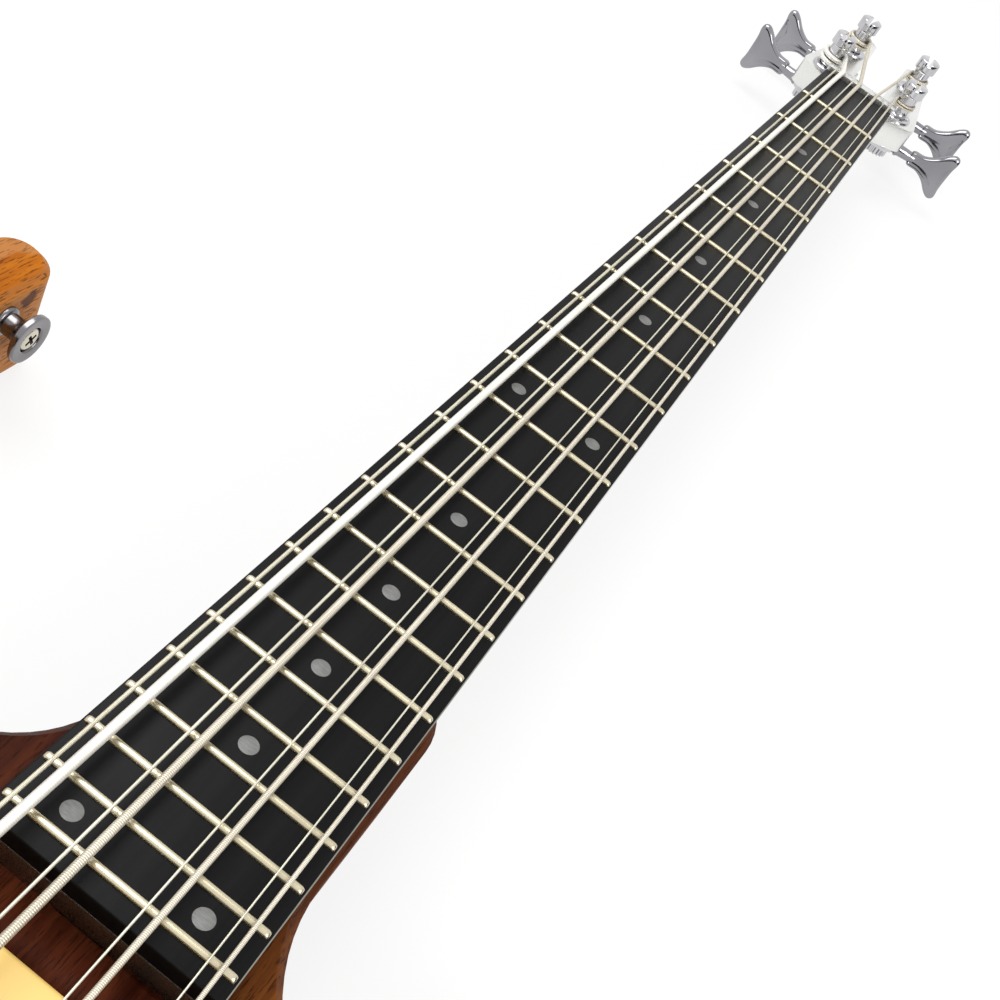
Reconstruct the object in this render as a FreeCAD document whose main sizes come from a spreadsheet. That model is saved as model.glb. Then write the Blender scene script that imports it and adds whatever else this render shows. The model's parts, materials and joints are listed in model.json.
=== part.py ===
"""An electric bass guitar with eight strings in four octave courses.

X runs along the strings towards the tail, Y towards the treble side and Z up from the flat back of the body.
The origin lies on that back, under the line where the strings leave the saddles. Lengths are in millimetres.
"""
import FreeCAD, Part
import math
import os
import re
import Sketcher

Vector = FreeCAD.Vector
UP = Vector(0, 0, 1)
TOWARDS_TAIL = Vector(1, 0, 0)
TOWARDS_TREBLE = Vector(0, 1, 0)
ORIGIN = Vector(0, 0, 0)

SIZES = {
    # Playing length, fingerboard and neck
    "scale_length": 863.6,
    "fingerboard_overhang": 6.1,
    "fingerboard_thickness": 5.4,
    "fingerboard_nut_width": 42.8,
    "fingerboard_end_width": 63.8,
    "neck_rise": 12.5,
    "beam_lip": 0.3,
    "web_width": 16,
    "neck_depth_nut": 21.2,
    "neck_depth_heel": 25,
    "insert_edge": 2,
    "insert_start": 14,
    "insert_end_gap": 4,
    "tenon_depth": 18,
    "volute_length": 10,
    "fret_width": 2.4,
    "fret_crown_width": 0.8,
    "fret_side_width": 1.9,
    "fret_side_height": 0.7,
    "fret_height": 1.15,
    "fret_inset": 0.5,
    "dot_diameter": 5.4,
    "dot_depth": 2,
    "dot_fit": 0.03,
    "double_dot_pitch_octave": 30,
    "double_dot_pitch_end": 36,
    "nut_length": 5,
    "nut_height": 2.4,
    "octave_nut_gap": 0.26,
    "anchor_length": 8,
    "anchor_gap": 2,
    "anchor_drop": 0.3,
    "anchor_hole_depth": 2.2,
    # Forked headstock
    "headstock_drop": 9,
    "headstock_thickness": 14,
    "headstock_length": 112,
    "headstock_root_width": 41,
    "headstock_shoulder_width": 75,
    "headstock_tip_width": 51,
    "headstock_shoulder_distance": 22,
    "fork_gap": 22,
    "fork_depth_distance": 25,
    "fork_round": 10.5,
    "shoulder_round": 7,
    "prong_round": 6,
    "first_post_distance": 29,
    "second_post_distance": 77,
    "first_post_offset": 24,
    "second_post_offset": 20.5,
    "key_splay_degrees": 8,
    # Body
    "body_thickness": 40,
    "body_length": 493,
    "body_half_width": 200,
    "body_tail": 121.4,
    "horn_nose_width": 18.7,
    "bass_flank": 141.8,
    "bass_cut_gap": 17,
    "bass_cut_round": 36,
    "bass_cut_inner_round": 38,
    "treble_flank": 104,
    "treble_horn_reach": 68,
    "treble_horn_width": 27,
    "treble_horn_round": 11,
    "treble_cut_gap": 5.2,
    "treble_cut_round": 52,
    "treble_cut_inner_round": 18,
    "neck_overlap": 124,
    "tongue_half_width": 33.1,
    "tongue_round": 24,
    "body_top_bevel": 2.6,
    "body_back_bevel": 4,
    # Neck joint
    "neck_plate_length": 84,
    "neck_plate_width": 54,
    "neck_plate_thickness": 3,
    "neck_plate_round": 7,
    "neck_plate_setback": 32.2,
    "neck_bolt_diameter": 5,
    "neck_bolt_head": 9.4,
    "neck_bolt_pitch_long": 58,
    "neck_bolt_pitch_wide": 38,
    "neck_bolt_reach": 5,
    # Strings, at the nut and over the saddles
    "string_span_nut": 35.3,
    "string_shift_nut": 0.9,
    "string_span_saddle": 62.3,
    "string_shift_saddle": -0.5,
    "string_height_nut": 1.6,
    "string_height_saddle": 5.8,
    "gauge_e": 2.67,
    "gauge_a": 2.16,
    "gauge_d": 1.65,
    "gauge_g": 1.14,
    "gauge_e_octave": 1.1,
    "gauge_a_octave": 0.85,
    "gauge_d_octave": 0.6,
    "gauge_g_octave": 0.48,
    "string_bend": 9,
    "string_gap": 0.1,
    "winding_gap": 0.55,
    "ball_diameter": 4.6,
    "ball_length": 4.4,
    "octave_ball_diameter": 3.8,
    "octave_ball_length": 3.4,
    # Main tuners
    "tuner_post_diameter": 9.5,
    "tuner_post_height": 35,
    "tuner_flare_diameter": 12.4,
    "tuner_flare_start": 27.5,
    "tuner_flare_rise": 2,
    "tuner_slot_width": 3,
    "tuner_slot_depth": 6,
    "tuner_gear_diameter": 16,
    "tuner_gear_thickness": 6,
    "tuner_tooth_height": 1.4,
    "tuner_worm_diameter": 6.4,
    "tuner_worm_length": 9.4,
    "tuner_shaft_diameter": 4.6,
    "tuner_plate_thickness": 2,
    "tuner_plate_bevel": 5,
    "tuner_plate_width": 17,
    "tuner_plate_front": 13.5,
    "tuner_plate_rear": 21.5,
    "tuner_ear_thickness": 3,
    "tuner_ear_wall": 2.2,
    "tuner_shank_diameter": 8,
    "tuner_shank_start": 9.2,
    "tuner_shank_end": 22,
    "tuner_key_length": 25,
    "tuner_key_height": 29,
    "tuner_key_thickness": 5.5,
    "tuner_bushing_diameter": 17,
    "tuner_bushing_height": 1.4,
    "tuner_winding_level": 23.5,
    # Octave tuners under the tail shelf
    "octave_post_diameter": 6,
    "octave_post_height": 30,
    "octave_flare_diameter": 8,
    "octave_flare_start": 25,
    "octave_flare_rise": 1.5,
    "octave_slot_width": 1.6,
    "octave_slot_depth": 4,
    "octave_gear_diameter": 12,
    "octave_gear_thickness": 4.5,
    "octave_tooth_height": 1.1,
    "octave_worm_diameter": 4.4,
    "octave_worm_length": 7,
    "octave_shaft_diameter": 3,
    "octave_plate_thickness": 1.5,
    "octave_plate_bevel": 3.5,
    "octave_plate_width": 15,
    "octave_plate_front": 10,
    "octave_plate_rear": 14.6,
    "octave_ear_thickness": 2.2,
    "octave_ear_wall": 1.6,
    "octave_shank_diameter": 5.2,
    "octave_shank_start": 8,
    "octave_shank_end": 32,
    "octave_key_length": 15,
    "octave_key_height": 17,
    "octave_key_thickness": 4.4,
    "octave_winding_level": 22.5,
    "octave_post_setback": 28,
    "octave_inner_offset": 17,
    "octave_outer_offset": 42.6,
    "tail_shelf_thickness": 14,
    "tail_pocket_length": 42,
    "tail_pocket_inner": 6.5,
    "tail_pocket_outer": 60,
    # Bridge
    "bridge_front": 26,
    "bridge_rear": 38,
    "bridge_width": 88,
    "bridge_base_thickness": 4,
    "bridge_wall_thickness": 8,
    "bridge_wall_height": 17,
    "saddle_front": 9,
    "saddle_rear": 8,
    "saddle_width": 15.2,
    "saddle_crest_half": 1.2,
    "saddle_crest_rise": 0.3,
    "saddle_front_drop": 4.6,
    "saddle_rear_drop": 5.6,
    "string_break_length": 38.7,
    "string_break_drop": 9.5,
    "octave_slot_gap": 0.7,
    # Pickups
    "pickup_length": 38,
    "pickup_width": 91,
    "pickup_round": 4,
    "pickup_edge_bevel": 1.2,
    "pickup_wall": 2,
    "pickup_top_drop": 3,
    "pickup_cavity_depth": 14,
    "coil_length": 32,
    "coil_width": 72,
    "coil_height": 17,
    # Controls
    "cavity_round": 14,
    "cavity_roof": 8,
    "cover_margin": 8,
    "cover_thickness": 3,
    "knob_diameter": 24,
    "knob_top_diameter": 21,
    "knob_face_diameter": 19,
    "knob_skirt": 3,
    "knob_side": 11,
    "knob_chamfer": 1,
    "knob_lift": 0.6,
    "shaft_diameter": 6,
    "shaft_reach": 16,
    "pot_diameter": 18,
    "pot_height": 10,
    "pot_bushing": 9,
    "pot_nut_diameter": 13,
    "pot_nut_height": 2,
    "selector_length": 22,
    "selector_width": 12,
    "selector_depth": 16,
    "selector_bushing": 11,
    "selector_bore": 7.2,
    "selector_lever_diameter": 3.6,
    "selector_ball": 6.5,
    "selector_tip": 7,
    "selector_lever_length": 22,
    "selector_pivot_drop": 3,
    "selector_rise": 2,
    "selector_bore_floor": 1,
    "jack_bore": 6.4,
    "jack_barrel": 18,
    "jack_length": 24,
    "jack_flange": 28,
    "jack_flange_thickness": 2.2,
    "jack_hole": 19,
    "jack_reach": 45,
    # Strap buttons
    "strap_disc": 16.5,
    "strap_rim": 1.9,
    "strap_waist": 7.4,
    "strap_foot": 10,
    "strap_foot_height": 1.6,
    "strap_stem": 4.4,
    "strap_flare": 2.6,
    "strap_level_drop": 9.8,
    "strap_tail_level": 20,
    # Clearances
    "running_gap": 0.3,
    "seat_gap": 0.15,
    "overrun": 5,
}

# Counts
FRET_COUNT = 24
SINGLE_DOT_FRETS = (3, 5, 7, 9, 15, 17, 19, 21)
TUNER_TOOTH_COUNT = 20
OCTAVE_TOOTH_COUNT = 16
# Quarter turns of a string round its post: the main strings, and the octave strings at the tail
TUNER_QUARTER_TURN_COUNT = 6
OCTAVE_QUARTER_TURN_COUNT = 1
KNOB_FLAT_COUNT = 18
STRING_SIDE_COUNT = 6
POST_SIDE_COUNT = 12
SMALL_SIDE_COUNT = 10

# Outer outline of the body from the treble horn round the tail to the bass horn: along the body length
# from the nose of the bass horn, across as a share of the half width, and the share of the shorter edge
# beside a corner that its rounding takes.
BODY_OUTLINE_SHARES = (
    (0.331, 0.79, 0.44),
    (0.56, 0.52, 0.54),
    (0.763, 0.92, 0.35),
    (0.986, 0.75, 0.47),
    (1.0, 0.32, 0.07),
    (1.0, -0.32, 0.07),
    (0.986, -0.75, 0.46),
    (0.763, -0.93, 0.3),
    (0.564, -0.63, 0.52),
    (0.219, -1.03, 0.34),
)
# Shares of the bass horn's nose that the roundings of its outer and inner corner take.
HORN_NOSE_SHARES = (0.39, 0.58)
# The edge of that outline with the output jack in its middle, by the corner it starts from.
JACK_EDGE_INDEX = 2

# Places on the lower treble bout, along and across as in the outline: two corners of the control cavity, the
# knobs and the selector.
CAVITY_SHARES = ((0.678, 0.38), (0.886, 0.67))
KNOB_SHARES = ((0.702, 0.48), (0.771, 0.52), (0.84, 0.56))
SELECTOR_SHARES = (0.79, 0.63)
# Place of the strap button on the flank of the bass horn, from its nose to the cutaway.
STRAP_HORN_SHARE = 0.171
# Fronts of the two pickups in the room between the fingerboard and the bridge.
PICKUP_SHARES = (0.094, 0.632)

# Half outline of a tuner key: along its length, then out as a share of its height.
KEY_OUTLINE_SHARES = (
    (0.0, 0.13),
    (0.28, 0.16),
    (0.52, 0.27),
    (0.72, 0.43),
    (0.86, 0.5),
    (0.96, 0.48),
    (1.0, 0.4),
    (0.97, 0.2),
)

# Places of the strings across their span, from the bass side.
STRINGS = ("e_octave", "e", "a_octave", "a", "d_octave", "d", "g_octave", "g")
NUT_SHARES = (0.0, 0.106, 0.314, 0.427, 0.622, 0.74, 0.895, 1.0)
SADDLE_SHARES = (0.0, 0.062, 0.289, 0.345, 0.648, 0.701, 0.949, 1.0)

document = FreeCAD.newDocument("electric_bass")
sheet = document.addObject("Spreadsheet::Sheet", "sizes")
for row, (alias, number) in enumerate(SIZES.items(), 1):
    sheet.set(f"A{row}", alias)
    sheet.set(f"B{row}", str(number))
    sheet.setAlias(f"B{row}", alias)
document.recompute()


class Sizes:
    """Reads a driving size from the sheet by its name."""

    def __getattr__(self, alias):
        return float(sheet.get(alias))


class Family:
    """Reads the sizes that share a first word, such as those of one kind of tuner."""

    def __init__(self, first_word):
        self.first_word = first_word

    def __getattr__(self, alias):
        return float(sheet.get(self.first_word + "_" + alias))


size = Sizes()
nodes = []

# Levels
body_top = size.body_thickness
board_top = body_top + size.neck_rise
beam_top = board_top - size.fingerboard_thickness
head_front = board_top - size.headstock_drop
head_back = head_front - size.headstock_thickness
shelf_back = body_top - size.tail_shelf_thickness
cavity_roof = body_top - size.cavity_roof
body_end = size.scale_length + size.body_tail
body_front = size.body_tail - size.body_length


# Helpers


def from_nut(distance):
    """X of a place at this distance from the nut."""
    return distance - size.scale_length


def on_body(along_share, across_share):
    """X and Y of a place on the body, along from the nose of the bass horn and across from the middle."""
    return body_front + along_share * size.body_length, across_share * size.body_half_width


def fret_distance(fret):
    """Distance from the nut to a fret in equal temperament."""
    return size.scale_length * (1 - 2 ** (-fret / 12))


# Distances from the nut that follow from the last fret
board_length = fret_distance(FRET_COUNT) + size.fingerboard_overhang
tongue_front = board_length - size.neck_overlap
neck_plate_front = tongue_front + size.neck_plate_setback
bass_cut = board_length - size.bass_cut_gap
treble_cut = board_length + size.treble_cut_gap


def board_half_width(distance):
    """Half the width of the fingerboard at this distance from the nut."""
    growth = (size.fingerboard_end_width - size.fingerboard_nut_width) / 2
    return size.fingerboard_nut_width / 2 + growth * distance / board_length


def add_node(label, shape):
    """A sub-part whose shape is worked out here from the sheet's sizes."""
    feature = document.addObject("Part::Feature", label)
    feature.Shape = shape
    feature.Label = label
    nodes.append(feature)
    return feature


def formula(text):
    """Points each size named in a formula at its cell."""
    return re.sub(r"[a-z]\w+", lambda found: "sizes." + found.group(), text)


def total(text):
    """The value of a sum of sizes, each whole or divided."""
    result = 0
    for term in text.split(" + "):
        alias, _, divisor = term.partition(" / ")
        result += getattr(size, alias) / float(divisor or 1)
    return result


def bound_sketch(body, role, corners):
    """A closed sketch whose corners hang on the sheet, with formulas in place of numbers."""
    plane = [item for item in body.Origin.OriginFeatures if item.Role == role][0]
    sketch = body.newObject("Sketcher::SketchObject", body.Name + "_sketch")
    sketch.AttachmentSupport = [(plane, "")]
    sketch.MapMode = "FlatFace"
    spots = []
    for across, along in corners:
        spots.append(Vector(total(across) if across else 0, total(along) if along else 0, 0))
    count = len(spots)
    for index in range(count):
        sketch.addGeometry(Part.LineSegment(spots[index], spots[(index + 1) % count]))
    for index in range(count):
        sketch.addConstraint(Sketcher.Constraint("Coincident", index, 2, (index + 1) % count, 1))
    for index, pair in enumerate(corners):
        for kind, axis, text in (("DistanceX", -2, pair[0]), ("DistanceY", -1, pair[1])):
            if text:
                rule = Sketcher.Constraint(kind, -1, 1, index, 1, total(text))
                place = sketch.addConstraint(rule)
                sketch.setExpression(f"Constraints[{place}]", formula(text))
            else:
                sketch.addConstraint(Sketcher.Constraint("PointOnObject", index, 1, axis))
    return sketch


def turned(label, corners):
    """A turned piece: radius and height formulas swept round the Z axis."""
    body = document.addObject("PartDesign::Body", label)
    sketch = bound_sketch(body, "XZ_Plane", corners)
    turn = body.newObject("PartDesign::Revolution", label + "_turn")
    turn.Profile = sketch
    turn.ReferenceAxis = (sketch, ["V_Axis"])
    turn.Angle = 360
    document.recompute()
    return body


def upright_edges(shape):
    """Names of the edges that run along Z."""
    names = []
    for index, edge in enumerate(shape.Edges, 1):
        box = edge.BoundBox
        if box.ZLength > 1e-6 and box.XLength < 1e-6 and box.YLength < 1e-6:
            names.append(f"Edge{index}")
    return names


def plate(label, length, width, thickness, corner):
    """A flat plate with rounded corners, from the origin along X and Y."""
    body = document.addObject("PartDesign::Body", label)
    sketch = bound_sketch(body, "XY_Plane", (("", ""), (length, ""), (length, width), ("", width)))
    pad = body.newObject("PartDesign::Pad", label + "_pad")
    pad.Profile = sketch
    pad.setExpression("Length", formula(thickness))
    document.recompute()
    rounding = body.newObject("PartDesign::Fillet", label + "_corners")
    rounding.Base = (pad, upright_edges(pad.Shape))
    rounding.setExpression("Radius", formula(corner))
    document.recompute()
    return body


def bound_box(label, length, width, height):
    """A block from the origin whose sides follow the sheet."""
    block = document.addObject("Part::Box", label)
    block.setExpression("Length", formula(length))
    block.setExpression("Width", formula(width))
    block.setExpression("Height", formula(height))
    document.recompute()
    return block


def moved(shape, x, y, z):
    """A copy of a shape, shifted."""
    copy = shape.copy()
    copy.translate(Vector(x, y, z))
    return copy


def rounded_face(corners, level=0):
    """A flat face inside corners given as x, y and rounding radius."""
    count = len(corners)
    spots = [Vector(x, y, level) for x, y, radius in corners]
    stretches = []
    for index, (x, y, radius) in enumerate(corners):
        here = spots[index]
        before = (spots[index - 1] - here).normalize()
        after = (spots[(index + 1) % count] - here).normalize()
        if radius == 0:
            stretches.append((here, here, here))
            continue
        half = before.getAngle(after) / 2
        trim = radius / math.tan(half)
        inward = (before + after).normalize()
        middle = here + inward * (radius / math.sin(half) - radius)
        stretches.append((here + before * trim, middle, here + after * trim))
    edges = []
    for index, (start, middle, end) in enumerate(stretches):
        if start != end:
            edges.append(Part.Arc(start, middle, end).toShape())
        following = stretches[(index + 1) % count][0]
        if (following - end).Length > 1e-6:
            edges.append(Part.makeLine(end, following))
    return Part.Face(Part.Wire(edges))


def prism(corners, low, high):
    """A solid with this outline between two levels."""
    return rounded_face(corners, low).extrude(Vector(0, 0, high - low))


def block(x_low, x_high, y_low, y_high, z_low, z_high):
    """A plain block between two corners."""
    return Part.makeBox(x_high - x_low, y_high - y_low, z_high - z_low, Vector(x_low, y_low, z_low))


def round_bar(start, end, diameter):
    """A round bar from one point to another."""
    return Part.makeCylinder(diameter / 2, (end - start).Length, start, end - start)


def ring_of_corners(spot, axis, diameter, sides):
    """A closed wire of even sides round an axis."""
    turn = FreeCAD.Rotation(UP, axis)
    corners = []
    for side in range(sides + 1):
        angle = 2 * math.pi * side / sides
        corners.append(spot + turn.multVec(Vector(math.cos(angle), math.sin(angle), 0) * (diameter / 2)))
    return Part.makePolygon(corners)


def even_bar(start, end, diameter, sides, last_diameter=None):
    """A bar of even sides inside a circle, for small round pieces; it tapers if a last diameter is given."""
    axis = end - start
    first = ring_of_corners(start, axis, diameter, sides)
    if last_diameter is None:
        return Part.Face(first).extrude(axis)
    last = ring_of_corners(end, axis, last_diameter, sides)
    faces = [Part.Face(first), Part.Face(last)]
    low = [vertex.Point for vertex in first.OrderedVertexes]
    high = [vertex.Point for vertex in last.OrderedVertexes]
    for side in range(sides):
        following = (side + 1) % sides
        flat = [low[side], low[following], high[following], high[side], low[side]]
        faces.append(Part.Face(Part.makePolygon(flat)))
    return Part.Solid(Part.Shell(faces))


def even_hole(start, end, diameter, sides):
    """The room for a round bar: a bar of even sides round a circle."""
    return even_bar(start, end, diameter / math.cos(math.pi / sides), sides)


def upright_hole(x, y, low, high, diameter, sides):
    return even_hole(Vector(x, y, low), Vector(x, y, high), diameter, sides)


def rounded_rectangle(x_low, x_high, y_low, y_high, radius):
    """Corners of a rectangle with one rounding."""
    corners = ((x_low, y_low), (x_high, y_low), (x_high, y_high), (x_low, y_high))
    return [(x, y, radius) for x, y in corners]


def aimed(shape, spot, axis):
    """A copy of a piece that was made up from the origin, set at a spot along an axis."""
    copy = shape.copy()
    copy.Placement = FreeCAD.Placement(spot, FreeCAD.Rotation(UP, axis))
    return copy


# Neck


def arched_section(x, left, right, top, half_chord, chord_level, low):
    """A section across the neck: flat on top, with a stretch of the back's arc below."""
    rise = chord_level - low
    radius = (half_chord ** 2 + rise ** 2) / (2 * rise)

    def arc_level(y):
        return low + radius - math.sqrt(radius ** 2 - y ** 2)

    middle = (left + right) / 2
    corners = [
        Vector(x, left, top),
        Vector(x, right, top),
        Vector(x, right, arc_level(right)),
        Vector(x, left, arc_level(left)),
    ]
    bow = Part.Arc(corners[2], Vector(x, middle, arc_level(middle)), corners[3]).toShape()
    return Part.Wire(
        [
            Part.makeLine(corners[0], corners[1]),
            Part.makeLine(corners[1], corners[2]),
            bow,
            Part.makeLine(corners[3], corners[0]),
        ]
    )


def neck_section(distance, left, right):
    """The neck's back below the flange at a distance from the nut, between two places across."""
    depth = size.neck_depth_nut
    depth += (size.neck_depth_heel - size.neck_depth_nut) * distance / tongue_front
    chord = board_half_width(distance) + size.beam_lip
    edge = body_top - size.insert_edge
    return arched_section(from_nut(distance), left, right, body_top, chord, edge, board_top - depth)


insert_end = tongue_front - size.insert_end_gap


def tapered_plan(start, end, extra):
    """Corners of the neck's plan between two distances, wider than the fingerboard by extra each side."""
    near = board_half_width(start) + extra
    far = board_half_width(end) + extra
    return [
        (from_nut(start), -near, 0),
        (from_nut(start), near, 0),
        (from_nut(end), far, 0),
        (from_nut(end), -far, 0),
    ]


def headstock_outline():
    """The fork: root at the neck, a shoulder each side, two prongs and the gap between them."""
    root = from_nut(-size.volute_length) + size.seat_gap
    half = [
        (root, size.headstock_root_width / 2, 0),
        (from_nut(-size.volute_length - size.anchor_gap), size.headstock_root_width / 2, size.anchor_gap),
        (
            from_nut(-size.headstock_shoulder_distance),
            size.headstock_shoulder_width / 2,
            size.shoulder_round,
        ),
        (from_nut(-size.headstock_length), size.headstock_tip_width / 2, size.prong_round),
        (from_nut(-size.headstock_length), size.fork_gap / 2, size.prong_round),
        (from_nut(-size.fork_depth_distance), size.fork_gap / 2, size.fork_round),
    ]
    mirrored = [(x, -y, radius) for x, y, radius in reversed(half)]
    return half + mirrored


def tuner_places():
    """Name, distance behind the nut and place across of the four main tuners."""
    return (
        ("e", -size.first_post_distance, -size.first_post_offset),
        ("a", -size.second_post_distance, -size.second_post_offset),
        ("d", -size.second_post_distance, size.second_post_offset),
        ("g", -size.first_post_distance, size.first_post_offset),
    )


def octave_places():
    """Name, distance from the nut and place across of the four octave tuners at the tail."""
    distance = body_end - size.octave_post_setback
    return (
        ("e", distance, -size.octave_outer_offset),
        ("a", distance, -size.octave_inner_offset),
        ("d", distance, size.octave_inner_offset),
        ("g", distance, size.octave_outer_offset),
    )


def neck_bolt_places():
    """X and Y of the four neck bolts, round the middle of the neck plate."""
    middle = from_nut(neck_plate_front) + size.neck_plate_length / 2
    places = []
    for along in (-1, 1):
        for across in (-1, 1):
            x = middle + along * size.neck_bolt_pitch_long / 2
            places.append((x, across * size.neck_bolt_pitch_wide / 2))
    return places


def make_neck_beam():
    flange = prism(tapered_plan(-size.nut_length, board_length, size.beam_lip), body_top, beam_top)
    half_web = size.web_width / 2
    web = Part.makeLoft(
        [neck_section(size.insert_start, -half_web, half_web), neck_section(insert_end, -half_web, half_web)],
        True,
        True,
    )
    tenon = block(
        from_nut(insert_end),
        from_nut(board_length),
        -half_web,
        half_web,
        body_top - size.tenon_depth,
        body_top,
    )
    chord = board_half_width(size.insert_start) + size.beam_lip
    root_half = size.headstock_root_width / 2
    root = arched_section(
        from_nut(-size.volute_length),
        -root_half,
        root_half,
        head_front,
        root_half,
        head_back + size.insert_edge,
        head_back,
    )
    volute = Part.makeLoft([root, neck_section(size.insert_start, -chord, chord)], True, True)
    head = prism(headstock_outline(), head_back, head_front)
    beam = flange.fuse([web, tenon, volute, head]).removeSplitter()
    holes = []
    for name, distance, y in tuner_places():
        reach = (head_back - size.overrun, head_front + size.overrun)
        hole = size.tuner_post_diameter + 2 * size.running_gap
        holes.append(upright_hole(from_nut(distance), y, *reach, hole, POST_SIDE_COUNT))
    for x, y in neck_bolt_places():
        hole = size.neck_bolt_diameter + size.seat_gap
        reach = (body_top - size.overrun, body_top + size.neck_bolt_reach)
        holes.append(upright_hole(x, y, *reach, hole, SMALL_SIDE_COUNT))
    return beam.cut(holes)


def make_neck_insert(side):
    inner = size.web_width / 2
    sections = []
    for distance in (size.insert_start, insert_end):
        outer = board_half_width(distance) + size.beam_lip
        low, high = sorted((side * inner, side * outer))
        sections.append(neck_section(distance, low, high))
    return Part.makeLoft(sections, True, True)


def dot_places():
    """X and Y of the position dots, halfway between their frets."""

    def between(fret):
        return from_nut((fret_distance(fret - 1) + fret_distance(fret)) / 2)

    places = [(between(fret), 0) for fret in SINGLE_DOT_FRETS]
    doubles = ((12, size.double_dot_pitch_octave), (24, size.double_dot_pitch_end))
    for fret, pitch in doubles:
        places += [(between(fret), -pitch / 2), (between(fret), pitch / 2)]
    return places


def make_fingerboard():
    board = prism(tapered_plan(0, board_length, 0), beam_top, board_top)
    pockets = []
    for x, y in dot_places():
        reach = (board_top - size.dot_depth, board_top + size.overrun)
        pockets.append(upright_hole(x, y, *reach, size.dot_diameter, SMALL_SIDE_COUNT))
    return board.cut(pockets)


def make_frets():
    """One crowned wire across the board at every fret."""
    half_profile = (
        (size.fret_width / 2, 0),
        (size.fret_side_width / 2, size.fret_side_height),
        (size.fret_crown_width / 2, size.fret_height),
    )
    profile = list(half_profile) + [(-along, rise) for along, rise in reversed(half_profile)]
    frets = []
    for fret in range(1, FRET_COUNT + 1):
        x = from_nut(fret_distance(fret))
        half = board_half_width(fret_distance(fret)) - size.fret_inset
        corners = [Vector(x + along, -half, board_top + rise) for along, rise in profile]
        face = Part.Face(Part.makePolygon(corners + corners[:1]))
        frets.append(face.extrude(Vector(0, 2 * half, 0)))
    return Part.makeCompound(frets)


def make_dots():
    discs = []
    for x, y in dot_places():
        low = Vector(x, y, board_top - size.dot_depth)
        high = Vector(x, y, board_top)
        discs.append(even_bar(low, high, size.dot_diameter - 2 * size.dot_fit, SMALL_SIDE_COUNT))
    return Part.makeCompound(discs)


# Strings


def gauge(name):
    return getattr(size, "gauge_" + name)


def nut_spot(name):
    """Where the middle of a string crosses the middle of the nut."""
    share = NUT_SHARES[STRINGS.index(name)]
    y = size.string_shift_nut + (share - 0.5) * size.string_span_nut
    return Vector(from_nut(-size.nut_length / 2), y, board_top + size.string_height_nut + gauge(name) / 2)


def saddle_spot(name):
    """Where the middle of a string crosses the crest of its saddle."""
    share = SADDLE_SHARES[STRINGS.index(name)]
    y = size.string_shift_saddle + (share - 0.5) * size.string_span_saddle
    return Vector(0, y, board_top + size.string_height_saddle + gauge(name) / 2)


def run_past(start, end, extra):
    """The end of a straight run, carried on by an extra length."""
    return end + (end - start).normalize() * extra


def arc_from(start, heading, end):
    """An arc from a start and a heading to an end."""
    chord = end - start
    along = Vector(chord).normalize()
    bulge = heading - along * heading.dot(along)
    if bulge.Length < 1e-6:
        return Part.makeLine(start, end)
    angle = heading.getAngle(along)
    middle = (start + end) / 2 + bulge.normalize() * (chord.Length / 2 * math.tan(angle / 2))
    return Part.Arc(start, middle, end).toShape()


def biarc(start, heading, end, last_heading):
    """Two arcs that join two points and keep both headings."""
    chord = end - start
    both = heading + last_heading
    bend = 2 * (1 - heading.dot(last_heading))
    reach = chord.dot(both)
    length = (math.sqrt(reach ** 2 + bend * chord.dot(chord)) - reach) / bend
    joint = (start + end + (heading - last_heading) * length) / 2
    back = arc_from(end, last_heading * -1, joint)
    return [arc_from(start, heading, joint), back]


def rounded_run(points, radius):
    """Straight runs between points, joined by arcs of one radius."""
    edges = []
    last = points[0]
    for before, here, after in zip(points, points[1:], points[2:]):
        backward = (before - here).normalize()
        forward = (after - here).normalize()
        half = backward.getAngle(forward) / 2
        trim = radius / math.tan(half)
        inward = (backward + forward).normalize()
        middle = here + inward * (radius / math.sin(half) - radius)
        edges.append(Part.makeLine(last, here + backward * trim))
        edges.append(Part.Arc(here + backward * trim, middle, here + forward * trim).toShape())
        last = here + forward * trim
    edges.append(Part.makeLine(last, points[-1]))
    return edges


def least_gap(points, diameter, turn):
    """The least gap of a winding to itself, on points that are at least half a turn apart along it."""
    travelled = [0]
    for before, after in zip(points, points[1:]):
        travelled.append(travelled[-1] + (after - before).Length)
    least = turn
    for first, spot in enumerate(points):
        for second in range(first):
            if travelled[first] - travelled[second] > turn / 2:
                least = min(least, (spot - points[second]).Length)
    return least - diameter


def string_plan(name):
    """The route of a string, the foot of its post, the way it turns, its winding radius and first touch."""
    octave = name.endswith("octave")
    family = Family("octave" if octave else "tuner")
    route = octave_string_route(name) if octave else main_string_route(name)
    places = octave_places() if octave else tuner_places()
    course = name.partition("_")[0]
    distance, y = [place[1:] for place in places if place[0] == course][0]
    post = Vector(from_nut(distance), y, shelf_back if octave else head_back)
    turn = math.copysign(1, y if octave else -y)
    radius = family.post_diameter / 2 + size.running_gap + gauge(name) / 2
    flat = Vector(route[-1].x - post.x, route[-1].y - post.y, 0)
    angle = math.atan2(flat.y, flat.x) + turn * math.acos(radius / flat.Length)
    out = Vector(math.cos(angle), math.sin(angle), 0)
    touch = post + UP * family.winding_level + out * radius
    return route, post, turn, radius, angle, touch


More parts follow.
